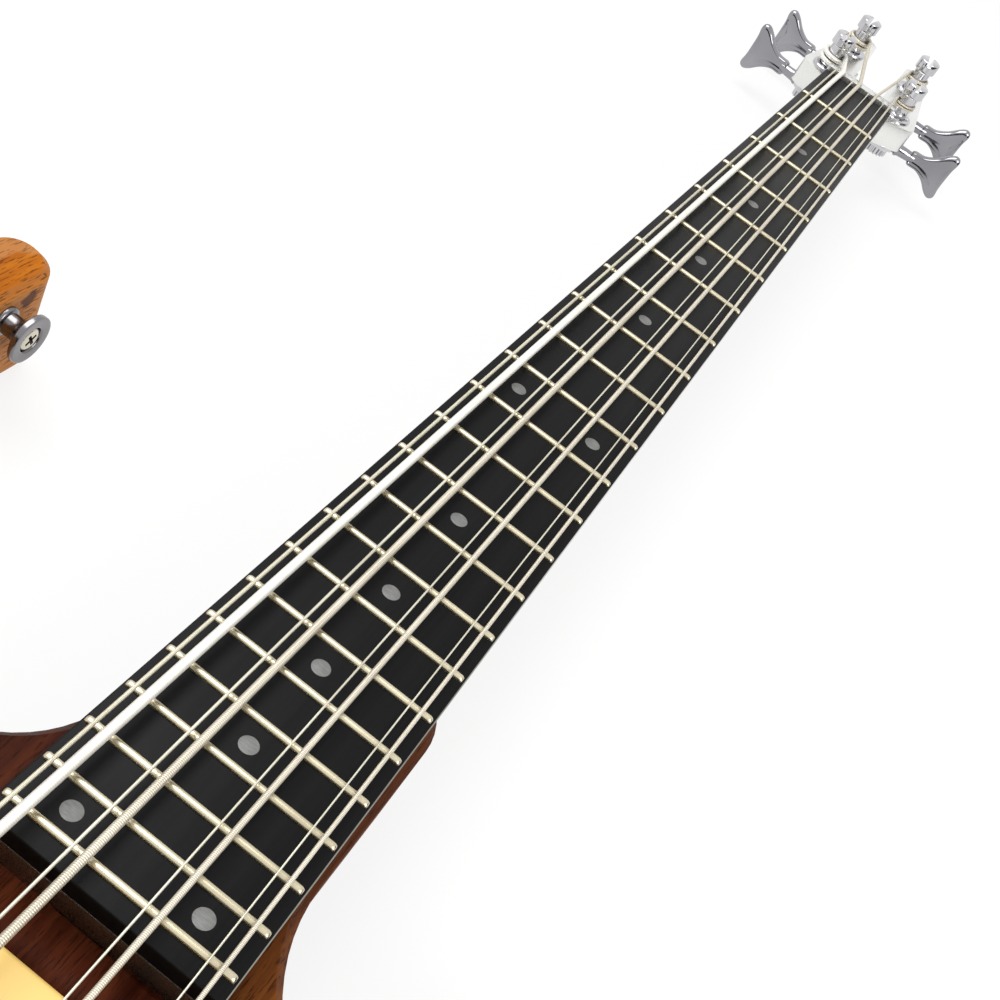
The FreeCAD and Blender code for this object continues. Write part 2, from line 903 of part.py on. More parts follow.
def make_string(name):
    """A string from its ball end along its route, then in even turns down its post."""
    route, post, turn, radius, angle, touch = string_plan(name)
    quarter_count = OCTAVE_QUARTER_TURN_COUNT if name.endswith("octave") else TUNER_QUARTER_TURN_COUNT
    thickness = gauge(name)
    edges = rounded_run(route + [touch], size.string_bend)
    pitch = thickness + size.winding_gap
    slope = math.atan2(pitch, 2 * math.pi * radius)
    heading = (touch - route[-1]).normalize()
    start = touch
    winding = []
    for quarter in range(1, quarter_count + 1):
        around = angle + turn * quarter * math.pi / 2
        out = Vector(math.cos(around), math.sin(around), 0)
        spot = Vector(post.x, post.y, touch.z - pitch * quarter / 4) + out * radius
        ahead = UP.cross(out) * (turn * math.cos(slope)) - UP * math.sin(slope)
        winding += biarc(start, heading, spot, ahead)
        start = spot
        heading = ahead
    tail = Part.makeLine(start, start + heading * thickness)
    path = Part.Wire(Part.__sortEdges__(edges + winding + [tail]))
    profile = ring_of_corners(route[0], route[1] - route[0], thickness, STRING_SIDE_COUNT)
    solid = path.makePipeShell([profile], True, False)
    points = Part.Wire(Part.__sortEdges__(winding)).discretize(Distance=thickness / 2)
    gap = least_gap(points, thickness, 2 * math.pi * radius)
    share = solid.Volume / (Part.Face(profile).Area * path.Length)
    print(f"string_{name}: winding clears itself by {gap:.2f} mm, volume share {share:.3f}")
    ends = Family("octave_ball" if name.endswith("octave") else "ball")
    axis = (route[1] - route[0]).normalize()
    ball = even_bar(route[0] - axis * ends.length, route[0], ends.diameter, SMALL_SIDE_COUNT)
    return solid.fuse(ball)


def main_string_route(name):
    """From the ball end behind the bridge over the saddle to the nut."""
    crest = saddle_spot(name)
    nut = nut_spot(name)
    leave = run_past(nut, crest, size.saddle_crest_half)
    ball = crest + Vector(size.string_break_length, 0, -size.string_break_drop)
    return [ball, leave, nut]


def octave_string_route(name):
    """From the ball end behind the nut over the nut to the saddle."""
    crest = saddle_spot(name)
    nut = nut_spot(name)
    middle = from_nut(-size.nut_length - size.anchor_gap - size.anchor_length / 2)
    ball = Vector(middle, nut.y, board_top - size.anchor_hole_depth)
    leave = run_past(nut, crest, size.saddle_crest_half)
    return [ball, nut, leave]


def make_nut():
    """The nut with an open slot under each string, deeper where an octave string bends down to its anchor."""
    half = board_half_width(0)
    body = block(from_nut(-size.nut_length), from_nut(0), -half, half, beam_top, board_top + size.nut_height)
    slots = []
    for name in STRINGS:
        spot = nut_spot(name)
        route, post, turn, radius, angle, touch = string_plan(name)
        behind = route[0] if name.endswith("octave") else touch
        width = gauge(name) / 2 + (size.octave_nut_gap if name.endswith("octave") else size.string_gap)
        high = spot.z + size.overrun
        for end in (behind, route[-1] if name.endswith("octave") else route[1]):
            away = (end - spot).normalize()
            stop = spot + away * size.nut_length
            corners = [
                Vector(spot.x - away.x, spot.y - width - away.y, spot.z - away.z - width),
                Vector(spot.x - away.x, spot.y + width - away.y, spot.z - away.z - width),
                Vector(spot.x - away.x, spot.y + width - away.y, high),
                Vector(spot.x - away.x, spot.y - width - away.y, high),
            ]
            face = Part.Face(Part.makePolygon(corners + corners[:1]))
            slots.append(face.extrude(stop - spot + away))
    return body.cut(slots)


def make_octave_anchor():
    """The block behind the nut, with a hole for each octave string and a seat for its ball end."""
    half = board_half_width(0)
    rear = from_nut(-size.nut_length - size.anchor_gap - size.anchor_length)
    front = rear + size.anchor_length
    body = block(rear, front, -half, half, head_front, board_top - size.anchor_drop)
    holes = []
    for name in STRINGS:
        if name.endswith("octave"):
            ball, nut, leave = octave_string_route(name)
            axis = (nut - ball).normalize()
            holes.append(even_hole(ball, nut, gauge(name) + 4 * size.string_gap, STRING_SIDE_COUNT))
            seat = size.octave_ball_diameter + 2 * size.seat_gap
            start = ball - axis * (2 * size.anchor_length)
            holes.append(even_hole(start, ball + axis * size.string_gap, seat, SMALL_SIDE_COUNT))
    return body.cut(holes)


# Tuners


def make_gear(family, teeth):
    """A gear with pointed teeth below the mounting plate."""
    outer = family.gear_diameter / 2
    root = outer - family.tooth_height
    top = -family.plate_thickness - size.running_gap
    corners = []
    for half_step in range(2 * teeth):
        angle = math.pi * half_step / teeth
        radius = outer if half_step % 2 else root
        corners.append((radius * math.cos(angle), radius * math.sin(angle), 0))
    return prism(corners, top - family.gear_thickness, top)


def worm_place(family):
    """X and Z of the worm shaft beside the post, in the tuner's own frame."""
    offset = family.gear_diameter / 2 + family.worm_diameter / 2 + size.running_gap
    depth = family.plate_thickness + size.running_gap + family.gear_thickness / 2
    return -offset, -depth


def make_bracket(family):
    """The mounting plate with two ears that carry the worm shaft."""
    x, z = worm_place(family)
    half = family.plate_width / 2
    cut = family.plate_bevel
    front = family.plate_front
    rear = -family.plate_rear
    corners = [
        (rear + cut, -half, 0),
        (front - cut, -half, 0),
        (front, cut - half, 0),
        (front, half - cut, 0),
        (front - cut, half, 0),
        (rear + cut, half, 0),
        (rear, half - cut, 0),
        (rear, cut - half, 0),
    ]
    bracket = prism(corners, -family.plate_thickness, 0)
    ear_half = family.shaft_diameter / 2 + family.ear_wall
    inner = family.worm_length / 2 + size.running_gap
    ears = []
    for low in (inner, -inner - family.ear_thickness):
        high = low + family.ear_thickness
        ears.append(block(x - ear_half, x + ear_half, low, high, z - ear_half, -family.plate_thickness / 2))
    bracket = bracket.fuse(ears).removeSplitter()
    reach = TOWARDS_TREBLE * family.plate_width
    middle = Vector(x, 0, z)
    post_hole = family.post_diameter + 2 * size.running_gap
    shaft_hole = family.shaft_diameter + 2 * size.running_gap
    holes = [
        even_hole(middle - reach, middle + reach, shaft_hole, SMALL_SIDE_COUNT),
        upright_hole(0, 0, -size.overrun, size.overrun, post_hole, POST_SIDE_COUNT),
    ]
    return bracket.cut(holes)


def make_post(family, tooth_count):
    """The string post with its gear, turning in the mounting hole."""
    top = family.post_height
    low = -family.plate_thickness - size.running_gap - family.gear_thickness
    waist = family.flare_start
    shoulder = waist + family.flare_rise
    levels = [Vector(0, 0, level) for level in (low, waist, shoulder, top)]
    shaft = even_bar(levels[0], levels[1], family.post_diameter, POST_SIDE_COUNT)
    flare = even_bar(levels[1], levels[2], family.post_diameter, POST_SIDE_COUNT, family.flare_diameter)
    head = even_bar(levels[2], levels[3], family.flare_diameter, POST_SIDE_COUNT)
    post = shaft.fuse([flare, head, make_gear(family, tooth_count)]).removeSplitter()
    half_slot = family.slot_width / 2
    wide = family.flare_diameter
    slot = block(-wide, wide, -half_slot, half_slot, top - family.slot_depth, top + size.overrun)
    return post.cut(slot)


def make_bushing(family, mount_thickness):
    """The ring round the post on the face of the mount."""
    low = mount_thickness
    high = low + family.bushing_height
    ring = even_bar(Vector(0, 0, low), Vector(0, 0, high), family.bushing_diameter, POST_SIDE_COUNT)
    hole = family.post_diameter + 2 * size.running_gap
    return ring.cut(upright_hole(0, 0, low - size.overrun, high + size.overrun, hole, POST_SIDE_COUNT))


def make_key(family):
    """The key blade with its shank, shaft and worm."""
    x, z = worm_place(family)
    inner_ear = family.worm_length / 2 + size.running_gap
    outer_ear = inner_ear + family.ear_thickness

    def bar(start, end, diameter):
        return even_bar(Vector(x, start, z), Vector(x, end, z), diameter, SMALL_SIDE_COUNT)

    shaft = bar(-outer_ear - family.ear_wall, family.shank_end, family.shaft_diameter)
    worm = bar(-family.worm_length / 2, family.worm_length / 2, family.worm_diameter)
    shank = bar(family.shank_start, family.shank_end + family.ear_wall, family.shank_diameter)
    half = []
    for along_share, out_share in KEY_OUTLINE_SHARES:
        spot = family.shank_end + along_share * family.key_length
        half.append((spot, out_share * family.key_height, 0))
    corners = half + [(along, -out, rounding) for along, out, rounding in reversed(half)]
    blade = prism(corners, -family.key_thickness / 2, family.key_thickness / 2)
    blade.rotate(ORIGIN, UP, 90)
    blade.rotate(ORIGIN, TOWARDS_TREBLE, 90)
    blade.translate(Vector(x, 0, z))
    return shaft.fuse([worm, shank, blade]).removeSplitter()


def set_main_tuner(shape, distance, y):
    """A main tuner piece at its post: mirrored on the bass side, and splayed away from the nut."""
    copy = shape.copy() if y > 0 else shape.mirror(ORIGIN, TOWARDS_TREBLE)
    copy.rotate(ORIGIN, UP, math.copysign(size.key_splay_degrees, y))
    copy.translate(Vector(from_nut(distance), y, head_back))
    return copy


def set_octave_tuner(shape, distance, y):
    """An octave tuner piece at its post, with the key towards the tail."""
    copy = shape.copy() if y > 0 else shape.mirror(ORIGIN, TOWARDS_TAIL)
    copy.rotate(ORIGIN, UP, -90)
    copy.translate(Vector(from_nut(distance), y, shelf_back))
    return copy


# Body


def corner_radius(before, here, after, share):
    """The rounding that takes this share of the shorter edge beside a corner."""
    back = Vector(before[0] - here[0], before[1] - here[1], 0)
    ahead = Vector(after[0] - here[0], after[1] - here[1], 0)
    trim = share * min(back.Length, ahead.Length)
    return trim * math.tan(back.getAngle(ahead) / 2)


def body_corners():
    """The outline of the body: neck tongue, treble cutaway and horn, tail, bass horn and cutaway."""
    tongue = size.tongue_half_width
    tongue_x = from_nut(tongue_front)
    treble_cut_x = from_nut(treble_cut)
    bass_cut_x = from_nut(bass_cut)
    tip_x = treble_cut_x - size.treble_horn_reach
    tip_inner = size.treble_flank - size.treble_horn_round / 4
    treble = [
        (tongue_x, -tongue, size.tongue_round),
        (tongue_x, tongue, size.tongue_round),
        (treble_cut_x, tongue, size.treble_cut_round),
        (treble_cut_x, size.treble_flank, size.treble_cut_inner_round),
        (tip_x, tip_inner, size.treble_horn_round),
        (tip_x, tip_inner + size.treble_horn_width, size.treble_horn_round),
    ]
    bass = [
        (bass_cut_x, -size.bass_flank, size.bass_cut_inner_round),
        (bass_cut_x, -tongue, size.bass_cut_round),
    ]
    spots = [on_body(along, across) for along, across, share in BODY_OUTLINE_SHARES]
    spots += [(body_front, -size.bass_flank - size.horn_nose_width), (body_front, -size.bass_flank)]
    shares = [share for along, across, share in BODY_OUTLINE_SHARES] + list(HORN_NOSE_SHARES)
    chain = [treble[-1]] + spots + [bass[0]]
    outer = []
    for index, (x, y) in enumerate(spots):
        outer.append((x, y, corner_radius(chain[index], spots[index], chain[index + 2], shares[index])))
    return treble + outer + bass


def neck_plate_corners(gap):
    x = from_nut(neck_plate_front)
    end = x + size.neck_plate_length + gap
    half = size.neck_plate_width / 2 + gap
    return rounded_rectangle(x - gap, end, -half, half, size.neck_plate_round + gap)


def pickup_fronts():
    """X of the nut-side edge of each pickup."""
    start = from_nut(board_length)
    room = -size.bridge_front - start
    return [start + share * room for share in PICKUP_SHARES]


def cavity_corners(margin):
    x_low, y_low = on_body(*CAVITY_SHARES[0])
    x_high, y_high = on_body(*CAVITY_SHARES[1])
    ends = (x_low - margin, x_high + margin, y_low - margin, y_high + margin)
    return rounded_rectangle(*ends, size.cavity_round + margin)


def knob_places():
    """X and Y of the three knobs."""
    return [on_body(*shares) for shares in KNOB_SHARES]


def jack_axis():
    """The middle of the treble lower edge, and the way out there, square to the edge."""
    first = Vector(*on_body(*BODY_OUTLINE_SHARES[JACK_EDGE_INDEX][:2]), body_top / 2)
    last = Vector(*on_body(*BODY_OUTLINE_SHARES[JACK_EDGE_INDEX + 1][:2]), body_top / 2)
    along = (last - first).normalize()
    return (first + last) / 2, UP.cross(along)


def strap_places():
    """Foot and axis of the two strap buttons, on the inner flank of the bass horn and on the tail."""
    horn_x = body_front + STRAP_HORN_SHARE * (from_nut(bass_cut) - body_front)
    horn = Vector(horn_x, -size.bass_flank, body_top - size.strap_level_drop)
    tail = Vector(size.body_tail, 0, size.strap_tail_level)
    return (horn, TOWARDS_TREBLE), (tail, TOWARDS_TAIL)


def countersunk_screw(diameter, head, length, extra=0):
    """A screw from its flat head face at the origin up along Z, or the room for it when extra is added."""
    drop = UP * ((head - diameter) / 2)
    make = even_hole if extra else even_bar
    shank = make(drop, UP * (length + extra), diameter + extra, SMALL_SIDE_COUNT)
    spread = 1 / math.cos(math.pi / SMALL_SIDE_COUNT) if extra else 1
    wide = (head + extra) * spread
    cone = even_bar(ORIGIN, drop, wide, SMALL_SIDE_COUNT, (diameter + extra) * spread)
    return cone.fuse(shank).removeSplitter()


def make_body():
    slab = prism(body_corners(), 0, body_top)
    top_rim = [edge for edge in slab.Edges if edge.BoundBox.ZMin > body_top - size.dot_fit]
    slab = slab.makeChamfer(size.body_top_bevel, top_rim)
    back_rim = [edge for edge in slab.Edges if edge.BoundBox.ZMax < size.dot_fit]
    slab = slab.makeChamfer(size.body_back_bevel, back_rim)
    gap = size.seat_gap
    over = size.overrun
    half_tenon = size.web_width / 2 + gap
    cuts = [
        block(
            from_nut(tongue_front) - over,
            from_nut(board_length) + gap,
            -half_tenon,
            half_tenon,
            body_top - size.tenon_depth - gap,
            body_top + over,
        ),
        prism(neck_plate_corners(gap), -over, size.neck_plate_thickness),
        prism(cavity_corners(0), -over, cavity_roof),
        prism(cavity_corners(size.cover_margin + gap), -over, size.cover_thickness),
    ]
    bolt_hole = size.neck_bolt_diameter + 2 * gap
    for x, y in neck_bolt_places():
        cuts.append(upright_hole(x, y, -over, body_top + over, bolt_hole, SMALL_SIDE_COUNT))
    for x in pickup_fronts():
        half = size.pickup_width / 2 + gap
        ends = (x - gap, x + size.pickup_length + gap, -half, half)
        corners = rounded_rectangle(*ends, size.pickup_round + gap)
        cuts.append(prism(corners, body_top - size.pickup_cavity_depth, body_top + over))
    for x, y in knob_places():
        reach = (cavity_roof - over, body_top + over)
        cuts.append(upright_hole(x, y, *reach, size.pot_bushing + 2 * gap, SMALL_SIDE_COUNT))
    reach = (*on_body(*SELECTOR_SHARES), cavity_roof - over, body_top + over)
    cuts.append(upright_hole(*reach, size.selector_bushing + 2 * gap, SMALL_SIDE_COUNT))
    jack_spot, jack_out = jack_axis()
    jack_end = jack_spot - jack_out * size.jack_reach
    cuts.append(even_hole(jack_spot + jack_out * over, jack_end, size.jack_hole, POST_SIDE_COUNT))
    for side in (-1, 1):
        low, high = sorted((side * size.tail_pocket_inner, side * size.tail_pocket_outer))
        start = from_nut(body_end - size.tail_pocket_length)
        cuts.append(block(start, from_nut(body_end) + over, low, high, -over, shelf_back))
    octave = Family("octave")
    for name, distance, y in octave_places():
        hole = octave.post_diameter + 2 * size.running_gap
        reach = (shelf_back - over, body_top + over)
        cuts.append(upright_hole(from_nut(distance), y, *reach, hole, POST_SIDE_COUNT))
    return slab.cut(cuts)


# Bridge


def course_middle(name):
    """Y of the middle of a course over the saddle."""
    return (saddle_spot(name).y + saddle_spot(name + "_octave").y) / 2


COURSES = ("e", "a", "d", "g")
base_top = body_top + size.bridge_base_thickness
crest_level = board_top + size.string_height_saddle + size.saddle_crest_rise
wall_front = size.bridge_rear - size.bridge_wall_thickness


def string_channels(gap):
    """The room that every string needs over the saddles and through the rear wall."""
    channels = []
    for name in STRINGS:
        route, post, turn, radius, angle, touch = string_plan(name)
        width = gauge(name) + 2 * gap
        stops = route[1:] + [touch] if name.endswith("octave") else route
        for start, end in zip(stops, stops[1:]):
            channels.append(even_hole(start, end, width, STRING_SIDE_COUNT))
    return channels


def make_bridge_base():
    half = size.bridge_width / 2
    base = block(-size.bridge_front, size.bridge_rear, -half, half, body_top, base_top)
    wall = block(wall_front, size.bridge_rear, -half, half, body_top, body_top + size.bridge_wall_height)
    base = base.fuse(wall).removeSplitter()
    cuts = string_channels(size.seat_gap)
    for name in STRINGS:
        route, post, turn, radius, angle, touch = string_plan(name)
        if name.endswith("octave"):
            run = (touch - route[2]).normalize()
            middle = route[2] + run * (wall_front + size.bridge_wall_thickness / 2 - route[2].x)
            half_slot = gauge(name) / 2 + size.octave_slot_gap
            high = body_top + size.bridge_wall_height + size.overrun
            low = middle.z - half_slot
            ends = (wall_front - size.overrun, size.bridge_rear + size.overrun)
            cuts.append(block(*ends, middle.y - half_slot, middle.y + half_slot, low, high))
    return base.cut(cuts)


def make_saddles():
    saddles = []
    channels = string_channels(size.seat_gap)
    low = base_top
    for course in COURSES:
        middle = course_middle(course)
        corners = [
            Vector(-size.saddle_front, 0, low),
            Vector(size.saddle_rear, 0, low),
            Vector(size.saddle_rear, 0, crest_level - size.saddle_rear_drop),
            Vector(size.saddle_crest_half, 0, crest_level),
            Vector(-size.saddle_crest_half, 0, crest_level),
            Vector(-size.saddle_front, 0, crest_level - size.saddle_front_drop),
        ]
        profile = Part.Face(Part.makePolygon(corners + corners[:1]))
        saddle = profile.extrude(TOWARDS_TREBLE * size.saddle_width)
        saddle.translate(Vector(0, middle - size.saddle_width / 2, 0))
        saddles.append(saddle.cut(channels))
    return Part.makeCompound(saddles)


# Pickups


def make_pickup_cover(x):
    half = size.pickup_width / 2
    low = body_top - size.pickup_cavity_depth
    high = board_top - size.pickup_top_drop
    ends = (x, x + size.pickup_length, -half, half)
    cover = prism(rounded_rectangle(*ends, size.pickup_round), low, high)
    rim = [edge for edge in cover.Edges if edge.BoundBox.ZMin > high - size.dot_fit]
    cover = cover.makeChamfer(size.pickup_edge_bevel, rim)
    room = block(
        x + size.pickup_wall,
        x + size.pickup_length - size.pickup_wall,
        -size.coil_width / 2 - size.seat_gap,
        size.coil_width / 2 + size.seat_gap,
        low - size.overrun,
        high - size.pickup_wall,
    )
    return cover.cut(room)


def make_coils():
    """The wound block under each cover, hung from the underside of its top."""
    master = bound_box("coil_block", "coil_length", "coil_width", "coil_height").Shape
    top = board_top - size.pickup_top_drop - size.pickup_wall
    blocks = []
    for x in pickup_fronts():
        side = (size.pickup_length - size.coil_length) / 2
        blocks.append(moved(master, x + side, -size.coil_width / 2, top - size.coil_height))
    return Part.makeCompound(blocks)


# Controls

shaft_low = body_top + size.pot_nut_height + size.knob_lift - size.shaft_reach


def make_knob():
    """A knob with flat sides and its shaft below, from the shaft's lower end up along Z."""
    levels = [size.shaft_reach]
    for rise in (size.knob_skirt, size.knob_side, size.knob_chamfer):
        levels.append(levels[-1] + rise)
    spots = [UP * level for level in levels]
    shaft = even_bar(ORIGIN, spots[0], size.shaft_diameter, SMALL_SIDE_COUNT)
    skirt = even_bar(spots[0], spots[1], size.knob_diameter, KNOB_FLAT_COUNT)
    side = even_bar(spots[1], spots[2], size.knob_diameter, KNOB_FLAT_COUNT, size.knob_top_diameter)
    face = even_bar(spots[2], spots[3], size.knob_top_diameter, KNOB_FLAT_COUNT, size.knob_face_diameter)
    return shaft.fuse([skirt, side, face]).removeSplitter()


def make_potentiometers():
    """Cans under the cavity roof, threaded bushings through it and a nut on top of each."""
    parts = []
    for x, y in knob_places():
        spots = []
        for level in (cavity_roof - size.pot_height, cavity_roof, body_top, body_top + size.pot_nut_height):
            spots.append(Vector(x, y, level))
        can = even_bar(spots[0], spots[1], size.pot_diameter, SMALL_SIDE_COUNT)
        bushing = even_bar(spots[1], spots[2], size.pot_bushing, SMALL_SIDE_COUNT)
        ring = even_bar(spots[2], spots[3], size.pot_nut_diameter, STRING_SIDE_COUNT)
        bore = size.shaft_diameter + 2 * size.running_gap
        reach = (shaft_low - size.knob_chamfer, body_top + size.overrun)
        hole = upright_hole(x, y, *reach, bore, SMALL_SIDE_COUNT)
        parts.append(can.fuse([bushing, ring]).removeSplitter().cut(hole))
    return Part.makeCompound(parts)


selector_x, selector_y = on_body(*SELECTOR_SHARES)
pivot_level = body_top - size.selector_pivot_drop


def make_selector_body():
    case = bound_box("selector_case", "selector_length", "selector_width", "selector_depth").Shape
    case = moved(
        case,
        selector_x - size.selector_length / 2,
        selector_y - size.selector_width / 2,
        cavity_roof - size.selector_depth,
    )
    top = body_top + size.selector_rise
    foot = Vector(selector_x, selector_y, cavity_roof)
    bushing = even_bar(foot, Vector(selector_x, selector_y, top), size.selector_bushing, SMALL_SIDE_COUNT)
    reach = (cavity_roof + size.selector_bore_floor, top + size.overrun)
    bore = upright_hole(selector_x, selector_y, *reach, size.selector_bore, SMALL_SIDE_COUNT)
    return case.fuse(bushing).removeSplitter().cut(bore)


def make_selector_lever():
    """A lever that tilts about the thick bead inside its bushing, with a flared tip."""
    pivot = Vector(selector_x, selector_y, pivot_level)
    top = pivot + UP * size.selector_lever_length
    bead = UP * (size.selector_ball / 4)
    thin = size.selector_lever_diameter
    rod = even_bar(pivot, top, thin, SMALL_SIDE_COUNT)
    lower = even_bar(pivot - bead, pivot, thin, SMALL_SIDE_COUNT, size.selector_ball)
    upper = even_bar(pivot, pivot + bead, size.selector_ball, SMALL_SIDE_COUNT, thin)
    tip = even_bar(top - UP * size.selector_tip, top, thin, SMALL_SIDE_COUNT, size.selector_tip)
    return rod.fuse([lower, upper, tip]).removeSplitter()


def make_output_jack():
    spot, out = jack_axis()
    barrel = even_bar(spot - out * size.jack_length, spot, size.jack_barrel, POST_SIDE_COUNT)
    flange = even_bar(spot, spot + out * size.jack_flange_thickness, size.jack_flange, POST_SIDE_COUNT)
    floor = spot - out * (size.jack_length - size.cover_thickness)
    bore = round_bar(floor, spot + out * size.overrun, size.jack_bore)
    return barrel.fuse(flange).removeSplitter().cut(bore)


def make_control_cover():
    return prism(cavity_corners(size.cover_margin - size.seat_gap), 0, size.cover_thickness)


# Neck joint and strap buttons


def make_neck_plate():
    master = plate(
        "joint_plate", "neck_plate_length", "neck_plate_width", "neck_plate_thickness", "neck_plate_round"
    ).Shape
    cover = moved(master, from_nut(neck_plate_front), -size.neck_plate_width / 2, 0)
    return cover.cut(neck_bolts(size.seat_gap))


def neck_bolts(extra=0):
    length = body_top + size.neck_bolt_reach - 2 * size.seat_gap
    bolt = countersunk_screw(size.neck_bolt_diameter, size.neck_bolt_head, length, extra)
    return [moved(bolt, x, y, 0) for x, y in neck_bolt_places()]


def make_strap_button():
    """A strap button from its foot at the origin up along Z."""
    rises = ["strap_foot_height", "strap_stem", "strap_flare", "strap_rim"]
    levels = [" + ".join(rises[: count + 1]) for count in range(len(rises))]
    corners = (
        ("", ""),
        ("strap_foot / 2", ""),
        ("strap_waist / 2", levels[0]),
        ("strap_waist / 2", levels[1]),
        ("strap_disc / 2", levels[2]),
        ("strap_disc / 2", levels[3]),
        ("", levels[3]),
    )
    return turned("strap_button_turned", corners).Shape


# Build, from the body outwards

add_node("body", make_body())
add_node("neck_beam", make_neck_beam())
add_node("neck_insert_bass", make_neck_insert(-1))
add_node("neck_insert_treble", make_neck_insert(1))
add_node("fingerboard", make_fingerboard())
add_node("frets", make_frets())
add_node("position_dots", make_dots())
add_node("nut", make_nut())
add_node("octave_anchor", make_octave_anchor())
add_node("neck_plate", make_neck_plate())
add_node("neck_bolts", Part.makeCompound(neck_bolts()))
for name in STRINGS:
    add_node("string_" + name, make_string(name))
for kind, tooth_count, set_piece, places in (
    ("tuner", TUNER_TOOTH_COUNT, set_main_tuner, tuner_places()),
    ("octave", OCTAVE_TOOTH_COUNT, set_octave_tuner, octave_places()),
):
    family = Family(kind)
    key = make_key(family)
    post = make_post(family, tooth_count)
    for course, distance, y in places:
        add_node(f"{kind}_key_{course}", set_piece(key, distance, y))
        add_node(f"{kind}_post_{course}", set_piece(post, distance, y))
    brackets = [set_piece(make_bracket(family), distance, y) for course, distance, y in places]
    add_node(f"{kind}_brackets", Part.makeCompound(brackets))
bushing = make_bushing(Family("tuner"), size.headstock_thickness)
bushings = [set_main_tuner(bushing, distance, y) for course, distance, y in tuner_places()]
add_node("tuner_bushings", Part.makeCompound(bushings))
add_node("bridge_base", make_bridge_base())
add_node("saddles", make_saddles())
for label, x in zip(("front", "rear"), pickup_fronts()):
    add_node("pickup_cover_" + label, make_pickup_cover(x))
add_node("pickup_coils", make_coils())
knob = make_knob()
for label, (x, y) in zip(("volume", "blend", "tone"), knob_places()):
    add_node("knob_" + label, moved(knob, x, y, shaft_low))
add_node("potentiometers", make_potentiometers())
add_node("selector_body", make_selector_body())
add_node("selector_lever", make_selector_lever())
add_node("output_jack", make_output_jack())
add_node("control_cover", make_control_cover())
button = make_strap_button()
add_node("strap_buttons", Part.makeCompound([aimed(button, foot, axis) for foot, axis in strap_places()]))

# Check and export

document.recompute()
for item in document.Objects:
    if "Invalid" in item.State or "Error" in item.State:
        raise RuntimeError(item.Label + " did not rebuild")
os.makedirs("parts", exist_ok=True)
for feature in nodes:
    shape = feature.Shape
    if shape.isNull() or not shape.isValid():
        raise RuntimeError(feature.Label + " has no valid shape")
    shape.exportStep(f"parts/{feature.Label}.step")
print(len(nodes), "nodes written")
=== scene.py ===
import json
import math
from types import SimpleNamespace

import bmesh
import bpy
from mathutils import Matrix, Vector

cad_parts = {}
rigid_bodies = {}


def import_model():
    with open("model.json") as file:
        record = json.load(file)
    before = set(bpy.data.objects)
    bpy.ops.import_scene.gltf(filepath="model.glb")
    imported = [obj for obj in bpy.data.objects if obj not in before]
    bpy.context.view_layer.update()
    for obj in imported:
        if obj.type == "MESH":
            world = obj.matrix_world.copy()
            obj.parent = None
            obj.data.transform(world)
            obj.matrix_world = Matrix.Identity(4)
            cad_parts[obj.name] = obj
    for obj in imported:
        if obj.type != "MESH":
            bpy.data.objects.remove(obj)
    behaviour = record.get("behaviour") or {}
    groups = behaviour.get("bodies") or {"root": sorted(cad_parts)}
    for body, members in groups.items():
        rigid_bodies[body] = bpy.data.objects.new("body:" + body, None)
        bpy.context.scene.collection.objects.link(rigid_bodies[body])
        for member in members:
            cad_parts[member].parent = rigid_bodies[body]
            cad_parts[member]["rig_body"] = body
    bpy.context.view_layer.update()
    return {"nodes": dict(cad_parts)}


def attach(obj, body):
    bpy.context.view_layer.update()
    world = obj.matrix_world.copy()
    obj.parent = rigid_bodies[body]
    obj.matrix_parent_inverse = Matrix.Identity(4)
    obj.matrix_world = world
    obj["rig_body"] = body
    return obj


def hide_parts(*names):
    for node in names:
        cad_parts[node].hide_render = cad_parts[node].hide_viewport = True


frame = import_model()

# Shapes are put together in millimetres, and scaled to metres when a piece is finished.
MM = 0.001
FULL_TURN = 2 * math.pi
UP = Vector((0, 0, 1))
DOWN = Vector((0, 0, -1))

# Sizes repeated from the part's source, in millimetres
SCALE_LENGTH = 863.6
FRET_COUNT = 24
BOARD_LENGTH = 653.8
BOARD_NUT_WIDTH = 42.8
BOARD_END_WIDTH = 63.8
BOARD_TOP = 52.5
BEAM_TOP = 47.1
BODY_TOP = 40
HEAD_BACK = 29.5
HEAD_THICKNESS = 14
SHELF_BACK = 26
NUT_LENGTH = 5
ANCHOR_FROM_NUT = -11
ANCHOR_HOLE_DEPTH = 2.2
SADDLE_CREST_HALF = 1.2
STRING_BREAK_LENGTH = 38.7
STRING_BREAK_DROP = 9.5
STRING_BEND = 9
RUNNING_GAP = 0.3
# Middle and span of the strings across the nut and the saddles, and their height over the board
AT_NUT = (0.9, 35.3, 1.6)
AT_SADDLES = (-0.5, 62.3, 5.8)
# Each string's gauge, and its share of the span at the nut and at the saddles
STRINGS = {
    "e_octave": (1.1, 0.0, 0.0),
    "e": (2.67, 0.106, 0.062),
    "a_octave": (0.85, 0.314, 0.289),
    "a": (2.16, 0.427, 0.345),
    "d_octave": (0.6, 0.622, 0.648),
    "d": (1.65, 0.74, 0.701),
    "g_octave": (0.48, 0.895, 0.949),
    "g": (1.14, 1.0, 1.0),
}
MAIN_POSTS = {"e": (-892.6, -24), "a": (-940.6, -20.5), "d": (-940.6, 20.5), "g": (-892.6, 24)}
OCTAVE_POSTS = {"e": (93.4, -42.6), "a": (93.4, -17), "d": (93.4, 17), "g": (93.4, 42.6)}
